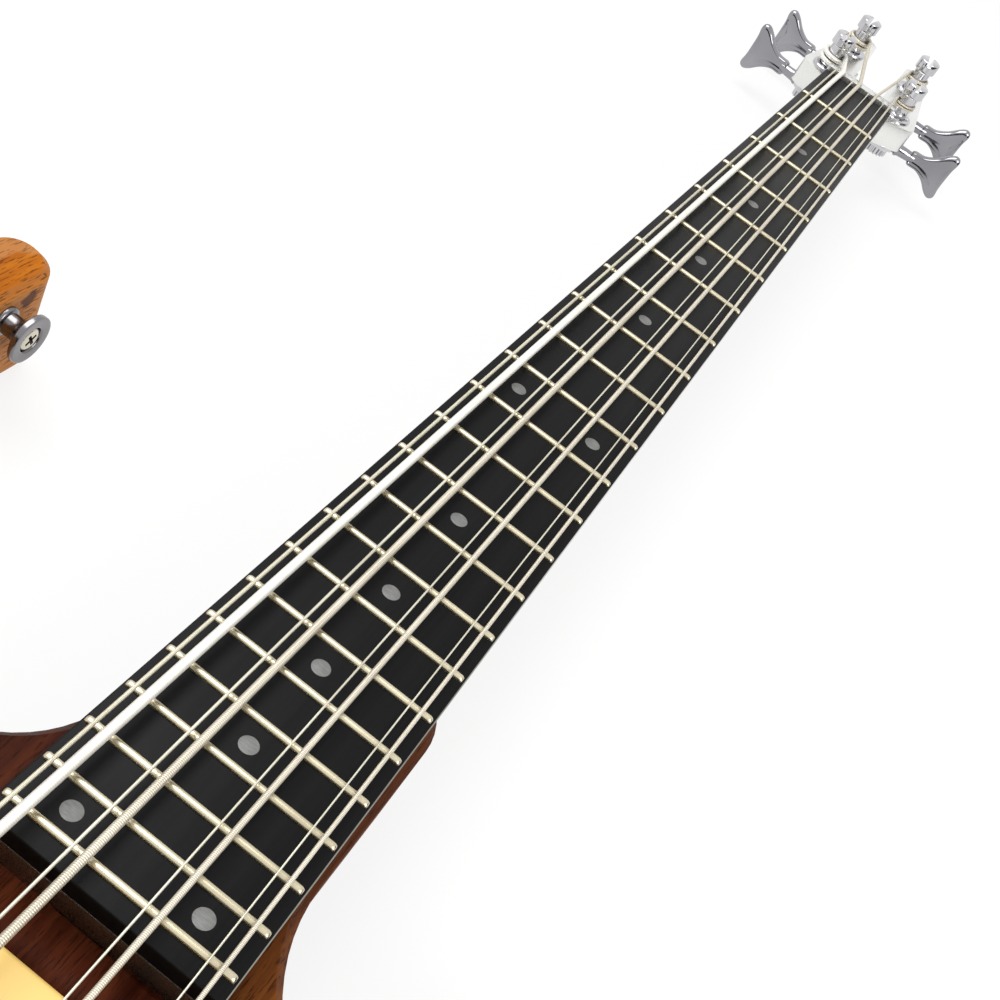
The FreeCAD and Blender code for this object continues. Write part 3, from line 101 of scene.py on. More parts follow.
# Places of the knobs, and the way their marks point at rest
KNOBS = {"volume": (-25.514, 96, -0.5), "blend": (8.503, 104, 0.2), "tone": (42.52, 112, 0.9)}
SELECTOR = (17.87, 126)
STRAP_FEET = (((-346.84, -141.8, 30.2), (0, 1, 0)), ((121.4, 0, 20), (1, 0, 0)))
DOT_FRETS = (3, 5, 7, 9, 15, 17, 19, 21)
DOUBLE_DOTS = ((12, 30), (24, 36))
DOT_DIAMETER = 5.34


# Materials

# Noise stays between these values for the most part.
NOISE_LOW = 0.3
NOISE_HIGH = 0.7


class Nodes:
    """A node tree, with short ways to add and join nodes."""

    def __init__(self, tree):
        self.tree = tree

    def fill(self, socket, value):
        """Joins an output to a socket, or sets the socket's own value."""
        if isinstance(value, bpy.types.NodeSocket):
            self.tree.links.new(value, socket)
        else:
            socket.default_value = value

    def node(self, kind, inputs=(), **settings):
        made = self.tree.nodes.new("ShaderNode" + kind)
        for name, value in settings.items():
            setattr(made, name, value)
        for name, value in dict(inputs).items():
            self.fill(made.inputs[name], value)
        return made

    def math(self, operation, first, second):
        return self.node("Math", {0: first, 1: second}, operation=operation).outputs[0]

    def plus(self, first, second, share):
        """The first value with a share of the second."""
        return self.math("ADD", first, self.math("MULTIPLY", second, share))

    def direct_rays(self):
        """One for rays from the camera, off a shiny surface or through glass, and nought for the rest."""
        path = self.node("LightPath").outputs
        either = self.math("MAXIMUM", path["Is Camera Ray"], path["Is Glossy Ray"])
        return self.math("MAXIMUM", either, path["Is Transmission Ray"])

    def blend_to(self, output, factor, first, second):
        """Sends a blend of two shaders to the surface of an output node."""
        blend = self.node("MixShader", {0: factor, 1: first.outputs[0], 2: second.outputs[0]})
        self.fill(output.inputs["Surface"], blend.outputs[0])


class Finish(Nodes):
    """A material with a principled shader, whose patterns follow the object's own places in metres."""

    def __init__(self, label, colour, metallic=0.0, roughness=0.5, **settings):
        self.material = bpy.data.materials.new(label)
        self.material.use_nodes = True
        super().__init__(self.material.node_tree)
        self.shader = self.tree.nodes["Principled BSDF"]
        settings.update(Base_Color=(*colour, 1), Metallic=metallic, Roughness=roughness)
        for socket, value in settings.items():
            self.shader.inputs[socket.replace("_", " ")].default_value = value
        self.spot = self.node("TexCoord").outputs["Object"]

    def noise(self, scale, detail=4.0, roughness=0.55, distortion=0.0):
        """Noise, with its features per metre along each axis, or one number for all three."""
        scales = scale if isinstance(scale, tuple) else (scale,) * 3
        spot = self.node("Mapping", {"Vector": self.spot, "Scale": scales}).outputs["Vector"]
        inputs = dict(Vector=spot, Scale=1.0, Detail=detail, Roughness=roughness, Distortion=distortion)
        return self.node("TexNoise", inputs).outputs["Fac"]

    def ramp(self, factor, stops):
        """Colours at places from 0 to 1."""
        made = self.node("ValToRGB", {"Fac": factor})
        band = made.color_ramp
        while len(band.elements) < len(stops):
            band.elements.new(1.0)
        for element, (place, colour) in zip(band.elements, stops):
            element.position = place
            element.color = (*colour, 1)
        return made.outputs["Color"]

    def two_tone(self, factor, dark, light):
        return self.ramp(factor, ((NOISE_LOW, dark), (NOISE_HIGH, light)))

    def spread(self, factor, low, high, from_low=NOISE_LOW, from_high=NOISE_HIGH):
        inputs = {"Value": factor, "From Min": from_low, "From Max": from_high, "To Min": low, "To Max": high}
        return self.node("MapRange", inputs).outputs["Result"]

    def mix(self, factor, first, second):
        """A second colour over a first one. Colours are in the node's sockets 6 and 7, and its output 2."""
        made = self.node("Mix", {0: factor}, data_type="RGBA")
        for socket, colour in zip(made.inputs[6:8], (first, second)):
            self.fill(socket, (*colour, 1) if isinstance(colour, tuple) else colour)
        return made.outputs[2]

    def done(self, colour, roughness, height=None, distance=0.0):
        """The material with its colour and roughness, and a bump in metres where a height is given."""
        ends = {"Base Color": colour, "Roughness": roughness}
        if height:
            bump = self.node("Bump", {"Height": height, "Distance": distance})
            ends["Normal"] = bump.outputs["Normal"]
        for socket, value in ends.items():
            self.fill(self.shader.inputs[socket], value)
        return self.material


# Where along X the neck's metal turns from bright to a darker tone of painted shade near the body, in metres
SHADE_REACH = (-0.44, -0.32)


def metal(label, light, dark, roughness, scale, scratch=0.00002, shaded_tone=None):
    """A metal with a varied tone and polish and fine scratches. A darker tone of painted shade takes over
    towards the body.
    """
    made = Finish(label, light, 1.0, roughness)
    fine = made.noise(scale, 5.0, 0.6)
    tone = made.two_tone(made.noise(25, 2.0), dark, light)
    # Painted shade: a darker tone takes over the neck's metal towards the body.
    if shaded_tone:
        along = made.node("SeparateXYZ", {"Vector": made.spot}).outputs["X"]
        tone = made.mix(made.spread(along, 0.0, 1.0, *SHADE_REACH), tone, shaded_tone)
    return made.done(tone, made.spread(fine, roughness * 0.75, roughness * 1.3), fine, scratch)


def plastic(label, light, dark, roughness, grain=900.0):
    """A moulded plastic with a soft mottle and a fine skin."""
    made = Finish(label, light, 0.0, roughness)
    broad = made.noise((18, 30, 30), 3.0)
    polish = made.spread(broad, roughness * 0.85, roughness * 1.2)
    return made.done(made.two_tone(broad, dark, light), polish, made.noise(grain, 2.0), 0.00001)


# Wood tones run from dark to light grain. Places on the body are in metres.
RED_BROWN = ((0.018, 0.0034, 0.0016), (0.052, 0.0108, 0.0044), (0.105, 0.026, 0.0095))
# Lighter, warmer tone on the treble flank: painted light.
LIT_FLANK = ((0.085, 0.022, 0.0035), (0.19, 0.058, 0.007), (0.31, 0.11, 0.014))
# Orange tone of the horn: partly the wood's own figure, partly painted light.
HORN_FIGURE_AND_LIGHT = ((0.18, 0.039, 0.003), (0.37, 0.102, 0.006), (0.49, 0.16, 0.013))
NECK_BROWN = ((0.06, 0.017, 0.008), (0.13, 0.04, 0.016), (0.22, 0.078, 0.03))
# Pale tone on the horn's slanted rim, its sides and its far corner: painted sheen.
PAINTED_SHEEN = (0.43, 0.185, 0.06)
# Darker tone on faces towards the tail: partly end grain, partly painted shade.
END_GRAIN_AND_SHADE = (0.016, 0.0048, 0.0014)
PORE_DARK = (0.02, 0.006, 0.003)
KNOT_BROWN = (0.062, 0.026, 0.02)
KNOT_SPOT = (-0.3564, -0.1418, 0.0337)
KNOT_EDGE = (0.0052, 0.0068)
GRAIN_PLACES = (0.34, 0.5, 0.66)
FLANK_SIDE = (0.031, 0.064)
HORN_SIDE = (-0.135, -0.06)
HORN_FAR_SIDE = -0.1538
HORN_TIP = (-0.345, -0.3)
HORN_CORNER = -0.3304
HORN_CORNER_X = 0.56
HORN_CORNER_Y = 0.83


def far_sheen_band(made, spot, lines):
    """The share of the painted sheen, a pale tone, on the horn's far side and corner, which fades away from
    the tip.
    """
    side = made.math("SUBTRACT", HORN_FAR_SIDE, spot["Y"])
    slope = made.plus(made.math("MULTIPLY", spot["X"], HORN_CORNER_X), spot["Y"], HORN_CORNER_Y)
    corner = made.math("SUBTRACT", HORN_CORNER, slope)
    beyond = made.plus(made.math("MAXIMUM", side, corner), lines, 0.003)
    near_tip = made.spread(spot["X"], 0.8, 0.0, *HORN_TIP)
    return made.math("MULTIPLY", made.spread(beyond, 0.0, 1.0, 0.001, 0.0026), near_tip)


def wood(label, tones, flank=None, horn=None):
    """Oiled wood along X with short dark pores and a knot; painted light on the treble flank and in part on
    the horn, and in part painted shade towards the tail.
    """
    made = Finish(label, tones[1], 0.0, 0.45, Specular_IOR_Level=0.04, Coat_Weight=0.015, Coat_Roughness=0.3)
    waves = made.noise((7, 55, 55), 4.0, 0.55, 0.6)
    lines = made.noise((16, 420, 420), 5.0, 0.62, 0.3)
    pores = made.noise((190, 1500, 1500), 2.0, 0.5)
    grain = made.plus(made.math("MULTIPLY", waves, 0.55), lines, 0.45)
    spot = made.node("SeparateXYZ", {"Vector": made.spot}).outputs
    facing = made.node("SeparateXYZ", {"Vector": made.node("NewGeometry").outputs["Normal"]}).outputs
    side = made.plus(spot["Y"], waves, 0.014)

    def grained(shades):
        return made.ramp(grain, tuple(zip(GRAIN_PLACES, shades)))

    tone = grained(tones)
    if flank:
        # Painted light: the treble flank takes a lighter, warmer tone.
        tone = made.mix(made.spread(side, 0.0, 1.0, *FLANK_SIDE), tone, grained(flank))
    if horn:
        # Painted sheen: the horn's faces that tilt away from straight up, and its far side and corner, turn
        # pale.
        sheen_tone = made.mix(made.spread(facing["Z"], 0.85, 0.0, 0.45, 0.97), grained(horn), PAINTED_SHEEN)
        sheen_tone = made.mix(far_sheen_band(made, spot, lines), sheen_tone, PAINTED_SHEEN)
        # The horn takes its orange tone, partly the wood's figure and partly painted light, with the painted
        # sheen over it.
        tone = made.mix(made.spread(side, 1.0, 0.0, *HORN_SIDE), tone, sheen_tone)
    # Faces towards the tail darken: partly end grain, partly painted shade.
    tone = made.mix(made.spread(facing["X"], 0.0, 0.85, 0.6, 0.95), tone, END_GRAIN_AND_SHADE)
    hole = made.spread(pores, 0.0, 0.85, 0.56, 0.66)
    tone = made.mix(hole, tone, made.mix(0.72, tone, PORE_DARK))
    if horn:
        far = made.node("VectorMath", {0: made.spot, 1: KNOT_SPOT}, operation="DISTANCE").outputs["Value"]
        ragged = made.plus(far, made.noise(260, 2.0), 0.006)
        tone = made.mix(made.spread(ragged, 0.85, 0.0, *KNOT_EDGE), tone, KNOT_BROWN)
    height = made.math("SUBTRACT", made.math("MULTIPLY", lines, 0.4), hole)
    return made.done(tone, made.spread(lines, 0.38, 0.54), height, 0.00012)


def board_black():
    """Black board with a faint lengthwise streak and a satin polish."""
    made = Finish("board_black", (0.004, 0.004, 0.0045), 0.0, 0.4, Specular_IOR_Level=0.09)
    streak = made.noise((9, 380, 380), 5.0, 0.65)
    tone = made.ramp(streak, ((0.35, (0.003, 0.003, 0.0034)), (0.7, (0.006, 0.006, 0.0062))))
    return made.done(tone, made.spread(made.noise((22, 60, 60), 3.0), 0.36, 0.46), streak, 0.00002)


GROOVE_SHADE = (0.16, 0.13, 0.09)


def wire(label, light, dark, metallic, roughness, pitch, groove=0.5):
    """Steel wire. A pitch gives the ridges of the wrap along the wire, and groove how dark the painted shade
    in the gaps is.
    """
    made = Finish(label, light, metallic, roughness)
    broad = made.noise(40, 2.0)
    tone = made.two_tone(broad, dark, light)
    ridge = None
    if pitch:
        run = made.node("UVMap", uv_map="run").outputs["UV"]
        along = made.node("SeparateXYZ", {"Vector": run}).outputs
        turns = made.math("SUBTRACT", made.math("DIVIDE", along["Y"], pitch), along["X"])
        wave = made.math("SINE", made.math("MULTIPLY", turns, FULL_TURN), 0.0)
        ridge = made.spread(wave, 0.0, 1.0, -1.0, 1.0)
        # Painted shade in the gaps between the wraps.
        tone = made.mix(ridge, made.mix(groove, tone, GROOVE_SHADE), tone)
    polish = made.spread(broad, roughness * 0.85, roughness * 1.2)
    return made.done(tone, polish, ridge, pitch * MM * 0.28 * groove)


def dot_metal():
    """Round metal inlays, brushed matt in fine straight lines."""
    made = Finish("dot_metal", (0.2, 0.2, 0.195), 0.35)
    lines = made.noise((2600, 420, 420), 3.0)
    return made.done(made.two_tone(lines, (0.14, 0.14, 0.138), (0.22, 0.22, 0.213)), 0.55, lines, 0.00002)


WOOD = wood("body_wood", RED_BROWN, LIT_FLANK, HORN_FIGURE_AND_LIGHT)
NECK_WOOD = wood("neck_wood", NECK_BROWN)
BOARD = board_black()
ALUMINIUM = metal(
    "neck_metal", (0.84, 0.84, 0.82), (0.76, 0.76, 0.74), 0.3, (60, 2200, 2200), shaded_tone=(0.3, 0.3, 0.26)
)
FRET_METAL = metal("fret_metal", (0.7, 0.635, 0.46), (0.6, 0.53, 0.37), 0.26, (900, 90, 900), 0.000003)
DOT_METAL = dot_metal()
CHROME = metal("chrome", (0.6, 0.6, 0.62), (0.5, 0.5, 0.52), 0.08, 300, 0.000005)
# A darker copy of the chrome for the tuner keys: painted shade, for the dark reflections on them.
KEY_CHROME_SHADED = metal("key_chrome_shaded", (0.36, 0.36, 0.38), (0.26, 0.26, 0.28), 0.1, 300, 0.000005)
DARK_CHROME = metal("dark_chrome", (0.24, 0.23, 0.24), (0.17, 0.165, 0.17), 0.2, 400, 0.000008)
SCREW_METAL = metal("screw_metal", (0.74, 0.7, 0.58), (0.54, 0.5, 0.4), 0.22, 700)
# Dark metal for the faces inside the cross recesses: painted shade.
RECESS_SHADE = metal("screw_recess_shade", (0.07, 0.06, 0.05), (0.03, 0.026, 0.022), 0.6, 700)
BRASS = metal("bridge_brass", (0.72, 0.53, 0.26), (0.6, 0.42, 0.18), 0.28, (500, 60, 500))
KNOB_METAL = metal("knob_metal", (0.34, 0.34, 0.35), (0.26, 0.26, 0.27), 0.26, 800)
CREAM = plastic("pickup_cream", (0.88, 0.62, 0.2), (0.82, 0.55, 0.16), 0.42)
BLACK_PLASTIC = plastic("cover_black", (0.014, 0.014, 0.015), (0.008, 0.008, 0.009), 0.46, 1600)
WHITE_PAINT = plastic("white_paint", (0.75, 0.75, 0.72), (0.62, 0.62, 0.6), 0.5)
CARD = plastic("card_dark", (0.03, 0.027, 0.025), (0.02, 0.018, 0.017), 0.9)
BEIGE_WIRE = ((0.8, 0.75, 0.63), (0.7, 0.64, 0.52))
LIT_PALE_WIRE = ((0.93, 0.92, 0.87), (0.88, 0.86, 0.79))
# The E string takes a paler wire with fainter gaps: painted light.
MAIN_WIRE = {"e": wire("wound_e", *LIT_PALE_WIRE, 0.45, 0.38, 0.66, 0.16)}
for course_name, wrap in (("a", 0.577), ("d", 0.5), ("g", 0.42)):
    MAIN_WIRE[course_name] = wire("wound_" + course_name, *BEIGE_WIRE, 0.5, 0.4, wrap)
OCTAVE_WOUND = wire("wound_octave", (0.74, 0.71, 0.57), (0.62, 0.58, 0.45), 0.5, 0.4, 0.36, 0.4)
PLAIN_WIRE = wire("plain_wire", (0.74, 0.72, 0.6), (0.6, 0.57, 0.46), 0.6, 0.3, 0)


# Building

HOLE_SIDES = 32
# Shorter edges than this, left behind by rounding, are taken out.
SHORTEST_EDGE = 0.0005
# Radius as a share of a screw's half width, and height as a share of its rise
SCREW_DOME = ((1, 0.35), (0.94, 0.68), (0.84, 0.9), (0.72, 1))
# The cross recess as shares of the screw's half width, and its floor as a share of its mouth
CROSS_REACH = 0.5616
CROSS_WIDTH = 0.144
CROSS_DEPTH = 0.4
CROSS_FLOOR = 0.62


def placed(spot, axis=UP, turn=0.0):
    """A place whose own Z points along an axis, after a turn about it."""
    tilt = Vector(axis).to_track_quat("Z", "Y").to_matrix().to_4x4()
    return Matrix.Translation(spot) @ tilt @ Matrix.Rotation(turn, 4, "Z")


def circle(count):
    angles = [FULL_TURN * index / count for index in range(count)]
    return [Vector((math.cos(angle), math.sin(angle), 0)) for angle in angles]


def linked(label, data):
    made = bpy.data.objects.new(label, data)
    bpy.context.scene.collection.objects.link(made)
    return made


def body_of(node):
    return frame["nodes"][node]["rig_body"]


def following(ring):
    """Each item of a closed ring with the next one."""
    return zip(ring, ring[1:] + ring[:1])


class Build:
    """A mesh that is put together from turned, swept and flat shapes, in millimetres."""

    def __init__(self):
        self.mesh = bmesh.new()
        self.run = self.mesh.loops.layers.uv.new("run")

    def rings(self, rings, caps=True, loop=False):
        """Skin over rings of points, given back as corners and faces. A ring of one point is a tip."""
        made = [[self.mesh.verts.new(spot) for spot in ring] for ring in rings]
        faces = []
        for low, high in following(made) if loop else zip(made, made[1:]):
            count = max(len(low), len(high))
            for here in range(count):
                after = (here + 1) % count
                corners = [low[here % len(low)], low[after % len(low)]]
                corners += [high[after % len(high)], high[here % len(high)]]
                faces.append(self.mesh.faces.new(list(dict.fromkeys(corners))))
        if caps and not loop:
            for ring in (made[0][::-1], made[-1]):
                if len(ring) > 2:
                    faces.append(self.mesh.faces.new(ring))
        return made, faces

    def turned(self, profile, place, segments, flute=0.0, flutes=0, lead=None, **ends):
        """A turned shape from radius and height pairs, or a ring from a loop of them.

        Flutes of a depth scallop it, and a lead winds them to a thread.
        """
        rings = []
        for radius, height in profile:
            if radius == 0:
                rings.append([place @ Vector((0, 0, height))])
                continue
            start = 0.5 - height / lead if lead else 0.0
            ring = []
            for index, spot in enumerate(circle(segments)):
                wave = math.cos(FULL_TURN * (start + flutes * index / segments))
                ring.append(place @ (spot * (radius - flute * (0.5 + 0.5 * wave)) + UP * height))
            rings.append(ring)
        return self.rings(rings, **ends)

    def thread(self, place, radius, depth, low, high, pitch, segments=24):
        """A screw thread along the place's own Z."""
        count = round((high - low) / pitch * 12)
        profile = [(radius, low + (high - low) * step / count) for step in range(count + 1)]
        self.turned(profile, place, segments, depth, 1, pitch)

    def fill(self, rings):
        """Flat faces between closed rings of corners."""
        edges = []
        for pair in [pair for ring in rings for pair in following(ring)]:
            edges.append(self.mesh.edges.get(pair) or self.mesh.edges.new(pair))
        bmesh.ops.triangle_fill(self.mesh, use_beauty=True, edges=edges)

    def walls(self, lower, upper):
        """Faces between two closed rings of corners."""
        sides = zip(following(lower), following(upper))
        return [self.mesh.faces.new((*low, high_after, high)) for low, (high, high_after) in sides]

    def plate(self, outline, holes, thickness):
        """A flat plate on the back, with round holes of one diameter. Gives back the corners of its rim."""
        spots, diameter = holes
        loops = [list(outline)]
        for x, y in spots:
            ring = [spot * diameter / 2 for spot in circle(HOLE_SIDES)]
            loops.append([(x + spot.x, y + spot.y) for spot in ring])
        levels = []
        for height in (0, thickness):
            levels.append([[self.mesh.verts.new((x, y, height)) for x, y in loop] for loop in loops])
            self.fill(levels[-1])
        for lower, upper in zip(*levels):
            self.walls(lower, upper)
        return {corner for level in levels for corner in level[0]}

    def tube(self, points, radius, sides):
        """A round wire along points, with the length along it kept in the run map."""
        behind = points[:1] + points[:-1]
        ahead = points[1:] + points[-1:]
        headings = [(after - before).normalized() for before, after in zip(behind, ahead)]
        side = headings[0].orthogonal().normalized()
        rings = []
        lengths = []
        length = 0.0
        for before, spot, heading in zip(behind, points, headings):
            length += (spot - before).length
            lengths.append(length)
            side = (side - heading * side.dot(heading)).normalized()
            other = heading.cross(side)
            rings.append([spot + (side * flat.x + other * flat.y) * radius for flat in circle(sides)])
        faces = self.rings(rings)[1]
        for index, face in enumerate(faces[: (len(points) - 1) * sides]):
            row, step = divmod(index, sides)
            spots = ((step, row), (step + 1, row), (step + 1, row + 1), (step, row + 1))
            for loop, (around, along) in zip(face.loops, spots):
                loop[self.run].uv = (around / sides, lengths[along])

    def prism(self, outline, low, high, place=Matrix.Identity(4), lean=0.0):
        """A flat outline carried from one height to another, drawn in by a lean at the top."""
        middle = Vector((sum(x for x, y in outline), sum(y for x, y in outline))) / len(outline)
        bottom = [place @ Vector((x, y, low)) for x, y in outline]
        top = []
        for x, y in outline:
            inward = (middle - Vector((x, y))).normalized() * lean
            top.append(place @ Vector((x + inward.x, y + inward.y, high)))
        self.rings([bottom, top])

    def cross_screw(self, spot, axis, diameter, rise, turn, sink=0.0):
        """A screw head with a domed rim and a cross recess, standing on a spot."""
        place = placed(spot, axis, turn)
        half = diameter / 2
        rim = [(half, -sink)] + [(half * out, rise * up) for out, up in SCREW_DOME]
        made = self.turned(rim, place, HOLE_SIDES, caps=False)[0]
        self.mesh.faces.new(made[0][::-1])
        arm = half * CROSS_REACH
        wide = half * CROSS_WIDTH
        cross = []
        for quarter in range(4):
            spin = Matrix.Rotation(quarter * math.pi / 2, 2)
            cross += [spin @ Vector(corner) for corner in ((arm, -wide), (arm, wide), (wide, wide))]
        floor = rise - half * CROSS_DEPTH
        top = [self.mesh.verts.new(place @ Vector((x, y, rise))) for x, y in cross]
        low = [self.mesh.verts.new(place @ Vector((*(spot * CROSS_FLOOR), floor))) for spot in cross]
        self.fill((made[-1], top))
        # The recess faces take the second material, painted shade.
        for face in [self.mesh.faces.new(low)] + self.walls(top, low):
            face.material_index = 1

    def soften(self, offset, segments=2, angle=30.0, chosen=None, room=0.0):
        """Rounds sharp edges, or those a test picks, but none that meets an edge shorter than the room."""
        self.mesh.normal_update()
        edges = []
        for edge in self.mesh.edges:
            if len(edge.link_faces) != 2 or edge.calc_face_angle(0) < math.radians(angle):
                continue
            lengths = [near.calc_length() for corner in edge.verts for near in corner.link_edges]
            if min(lengths) >= room and (chosen is None or chosen(edge)):
                edges.append(edge)
        bmesh.ops.bevel(
            self.mesh, geom=edges, offset=offset, segments=segments, profile=0.5,
            affect="EDGES", clamp_overlap=True,
        )
        bmesh.ops.dissolve_degenerate(self.mesh, dist=SHORTEST_EDGE, edges=self.mesh.edges)

    def finish(self, label, material, slot, replaces=(), body="instrument", smooth=40.0):
        """The piece as an object in metres, on its body."""
        bmesh.ops.recalc_face_normals(self.mesh, faces=self.mesh.faces)
        self.mesh.transform(Matrix.Scale(MM, 4))
        data = bpy.data.meshes.new(label)
        self.mesh.to_mesh(data)
        self.mesh.free()
        data.materials.append(material)
        # Faces inside cross recesses take the painted shade material.
        if any(face.material_index for face in data.polygons):
            data.materials.append(RECESS_SHADE)
        data.shade_smooth()
        data.set_sharp_from_angle(angle=math.radians(smooth))
        piece = linked(label, data)
        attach(piece, body)
        if replaces:
            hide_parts(*replaces)

    def stand_in(self, node, material, slot, smooth=40.0):
        """The piece in place of a CAD node, on the node's body."""
        self.finish(node + "_dressed", material, slot, (node,), body_of(node), smooth)


def copied(node):
    """A build that starts from a CAD node's own shape, with its flat faces whole again."""
    made = Build()
    mesh = made.mesh
    mesh.from_mesh(frame["nodes"][node].data)
    mesh.transform(Matrix.Scale(1 / MM, 4))
    bmesh.ops.remove_doubles(mesh, verts=mesh.verts, dist=0.001)
    bmesh.ops.dissolve_limit(mesh, angle_limit=math.radians(0.5), verts=mesh.verts, edges=mesh.edges)
    return made


def dressed(node, material, slot, offset, segments=2, angle=30.0, room=0.0):
    """A CAD node with its edges rounded."""
    made = copied(node)
    made.soften(offset, segments, angle, room=room)
    made.stand_in(node, material, slot)


def rounded(points, radius, steps=6):
    """Straight runs with a small arc at each corner."""
    path = [points[0]]
    for before, here, after in zip(points, points[1:], points[2:]):
        back = (before - here).normalized()
        ahead = (after - here).normalized()
        half = back.angle(ahead) / 2
        trim = radius / math.tan(half)
        middle = here + (back + ahead).normalized() * (radius / math.sin(half))
        start = here + back * trim - middle
        end = here + ahead * trim - middle
        sweep = start.angle(end)
        for step in range(steps + 1):
            part = sweep * step / steps
            path.append(middle + (start * math.sin(sweep - part) + end * math.sin(part)) / math.sin(sweep))
    path.append(points[-1])
    return path


# Neck

FRET_WIDTH = 2.4
FRET_HEIGHT = 1.15
FRET_INSET = 0.5
FRET_END_ROUND = 1.3
FRET_END_STEPS = 4
FRET_ARC_STEPS = 10
FRET_CROWN_POWER = 0.8
DOT_DEPTH = 2
DOT_RISE = 0.05
DOT_EDGE = 0.15


def from_nut(distance):
    return distance - SCALE_LENGTH


def fret_distance(fret):
    return SCALE_LENGTH * (1 - 2 ** (-fret / 12))


def board_half_width(distance):
    growth = (BOARD_END_WIDTH - BOARD_NUT_WIDTH) / 2
    return BOARD_NUT_WIDTH / 2 + growth * distance / BOARD_LENGTH


def make_board():
    made = Build()
    near, far = board_half_width(0), board_half_width(BOARD_LENGTH)
    start, end = from_nut(0), from_nut(BOARD_LENGTH)
    made.prism(((start, -near), (end, -far), (end, far), (start, near)), BEAM_TOP, BOARD_TOP)
    made.soften(0.45, 3)
    made.finish("board_dressed", BOARD, "fingerboard_black", ("fingerboard",))


def make_frets():
    """Crowned wires with rounded ends."""
    made = Build()
    for fret in range(1, FRET_COUNT + 1):
        x = from_nut(fret_distance(fret))
        half = board_half_width(fret_distance(fret)) - FRET_INSET
        stations = []
        for step in range(1, FRET_END_STEPS + 1):
            angle = math.pi / 2 / FRET_END_STEPS * step
            stations.append((-half + FRET_END_ROUND * (1 - math.cos(angle)), math.sin(angle)))
        stations += [(-y, share) for y, share in reversed(stations)]
        rings = []
        for y, share in stations:
            ring = []
            for step in range(FRET_ARC_STEPS + 1):
                angle = math.pi * step / FRET_ARC_STEPS
                along = FRET_WIDTH / 2 * math.cos(angle) * (0.55 + 0.45 * share)
                height = FRET_HEIGHT * math.sin(angle) ** FRET_CROWN_POWER * share
                ring.append(Vector((x + along, y, BOARD_TOP + height)))
            rings.append(ring)
        made.rings(rings)
    made.stand_in("frets", FRET_METAL, "fret_metal", 70)


def make_dots():
    made = Build()
    places = [(fret, 0) for fret in DOT_FRETS]
    for fret, pitch in DOUBLE_DOTS:
        places += [(fret, -pitch / 2), (fret, pitch / 2)]
    half = DOT_DIAMETER / 2
    profile = ((half, -DOT_DEPTH), (half, 0), (half - DOT_EDGE, DOT_RISE), (0, DOT_RISE))
    for fret, y in places:
        x = from_nut((fret_distance(fret - 1) + fret_distance(fret)) / 2)
        made.turned(profile, placed((x, y, BOARD_TOP)), 48)
    made.finish("dots_dressed", DOT_METAL, "dot_metal", ("position_dots",))


# Strings

WINDING = {
    "main": SimpleNamespace(radius=4.75, level=HEAD_BACK + 23.5, turns=2.4, gap=0.12),
    "octave": SimpleNamespace(radius=3.0, level=SHELF_BACK + 22.5, turns=2.6, gap=0.12),
}
TURN_STEPS = 24
WIRE_SIDES = 14
# Diameter and length of the ball ends, then their profile as shares of half the diameter and of the length
BALLS = {"main": (4.6, 4.4), "octave": (3.8, 3.4)}
BALL_PROFILE = ((0, 1), (1, 1), (1, 0.75), (0.72, 0.6), (0.72, 0.4), (1, 0.25), (1, 0), (0, 0))


def crossing(x, places, share, gauge):
    """Where a string's middle line crosses the nut or a saddle."""
    middle, span, height = places
    return Vector((x, middle + (share - 0.5) * span, BOARD_TOP + height + gauge / 2))


def beside_post(post, reach, angle, level):
    return Vector((post[0] + reach * math.cos(angle), post[1] + reach * math.sin(angle), level))


def make_string(name):
    """A wire from its ball end over nut and saddle, then in close turns down its post."""
    course, _, octave = name.partition("_")
    kind = octave or "main"
    gauge, nut_share, saddle_share = STRINGS[name]
    nut = crossing(from_nut(-NUT_LENGTH / 2), AT_NUT, nut_share, gauge)
    crest = crossing(0, AT_SADDLES, saddle_share, gauge)
    leave = crest + (crest - nut).normalized() * SADDLE_CREST_HALF
    if octave:
        hole = Vector((from_nut(ANCHOR_FROM_NUT), nut.y, BOARD_TOP - ANCHOR_HOLE_DEPTH))
        route = [hole, nut, leave]
        post = OCTAVE_POSTS[course]
        turn = math.copysign(1, post[1])
        finish = OCTAVE_WOUND if course == "e" else PLAIN_WIRE
    else:
        route = [crest + Vector((STRING_BREAK_LENGTH, 0, -STRING_BREAK_DROP)), leave, nut]
        post = MAIN_POSTS[course]
        turn = math.copysign(1, -post[1])
        finish = MAIN_WIRE[course]
    winding = WINDING[kind]
    reach = winding.radius + RUNNING_GAP / 3 + gauge / 2
    flat = Vector((route[-1].x - post[0], route[-1].y - post[1]))
    angle = math.atan2(flat.y, flat.x) + turn * math.acos(reach / flat.length)
    path = rounded(route + [beside_post(post, reach, angle, winding.level)], STRING_BEND)
    pitch = gauge + winding.gap
    for step in range(1, round(TURN_STEPS * winding.turns) + 1):
        wound = angle + turn * FULL_TURN * step / TURN_STEPS
        fall = pitch * min(1.0, step / TURN_STEPS) * step / TURN_STEPS
        path.append(beside_post(post, reach, wound, winding.level - fall))
    made = Build()
    made.tube(path, gauge / 2, WIRE_SIDES)
    diameter, length = BALLS[kind]
    profile = [(diameter / 2 * out, -length * back) for out, back in BALL_PROFILE]
    made.turned(profile, placed(route[0], (route[1] - route[0]).normalized()), 24)
    made.finish("wire_" + name, finish, "string_steel", ("string_" + name,), smooth=60)


# Wood, neck metal and pickups

PICKUP_MIDDLES = {"pickup_cover_front": -173.5, "pickup_cover_rear": -74.6}
PICKUP_TOP = 49.5
PICKUP_SCREW_OFFSET = 40.8


def slanted(edge):
    """True beside a bevel, which is how the outer rim of the body differs from its cavities."""
    return any(0.15 < abs(face.normal.z) < 0.97 for face in edge.link_faces)


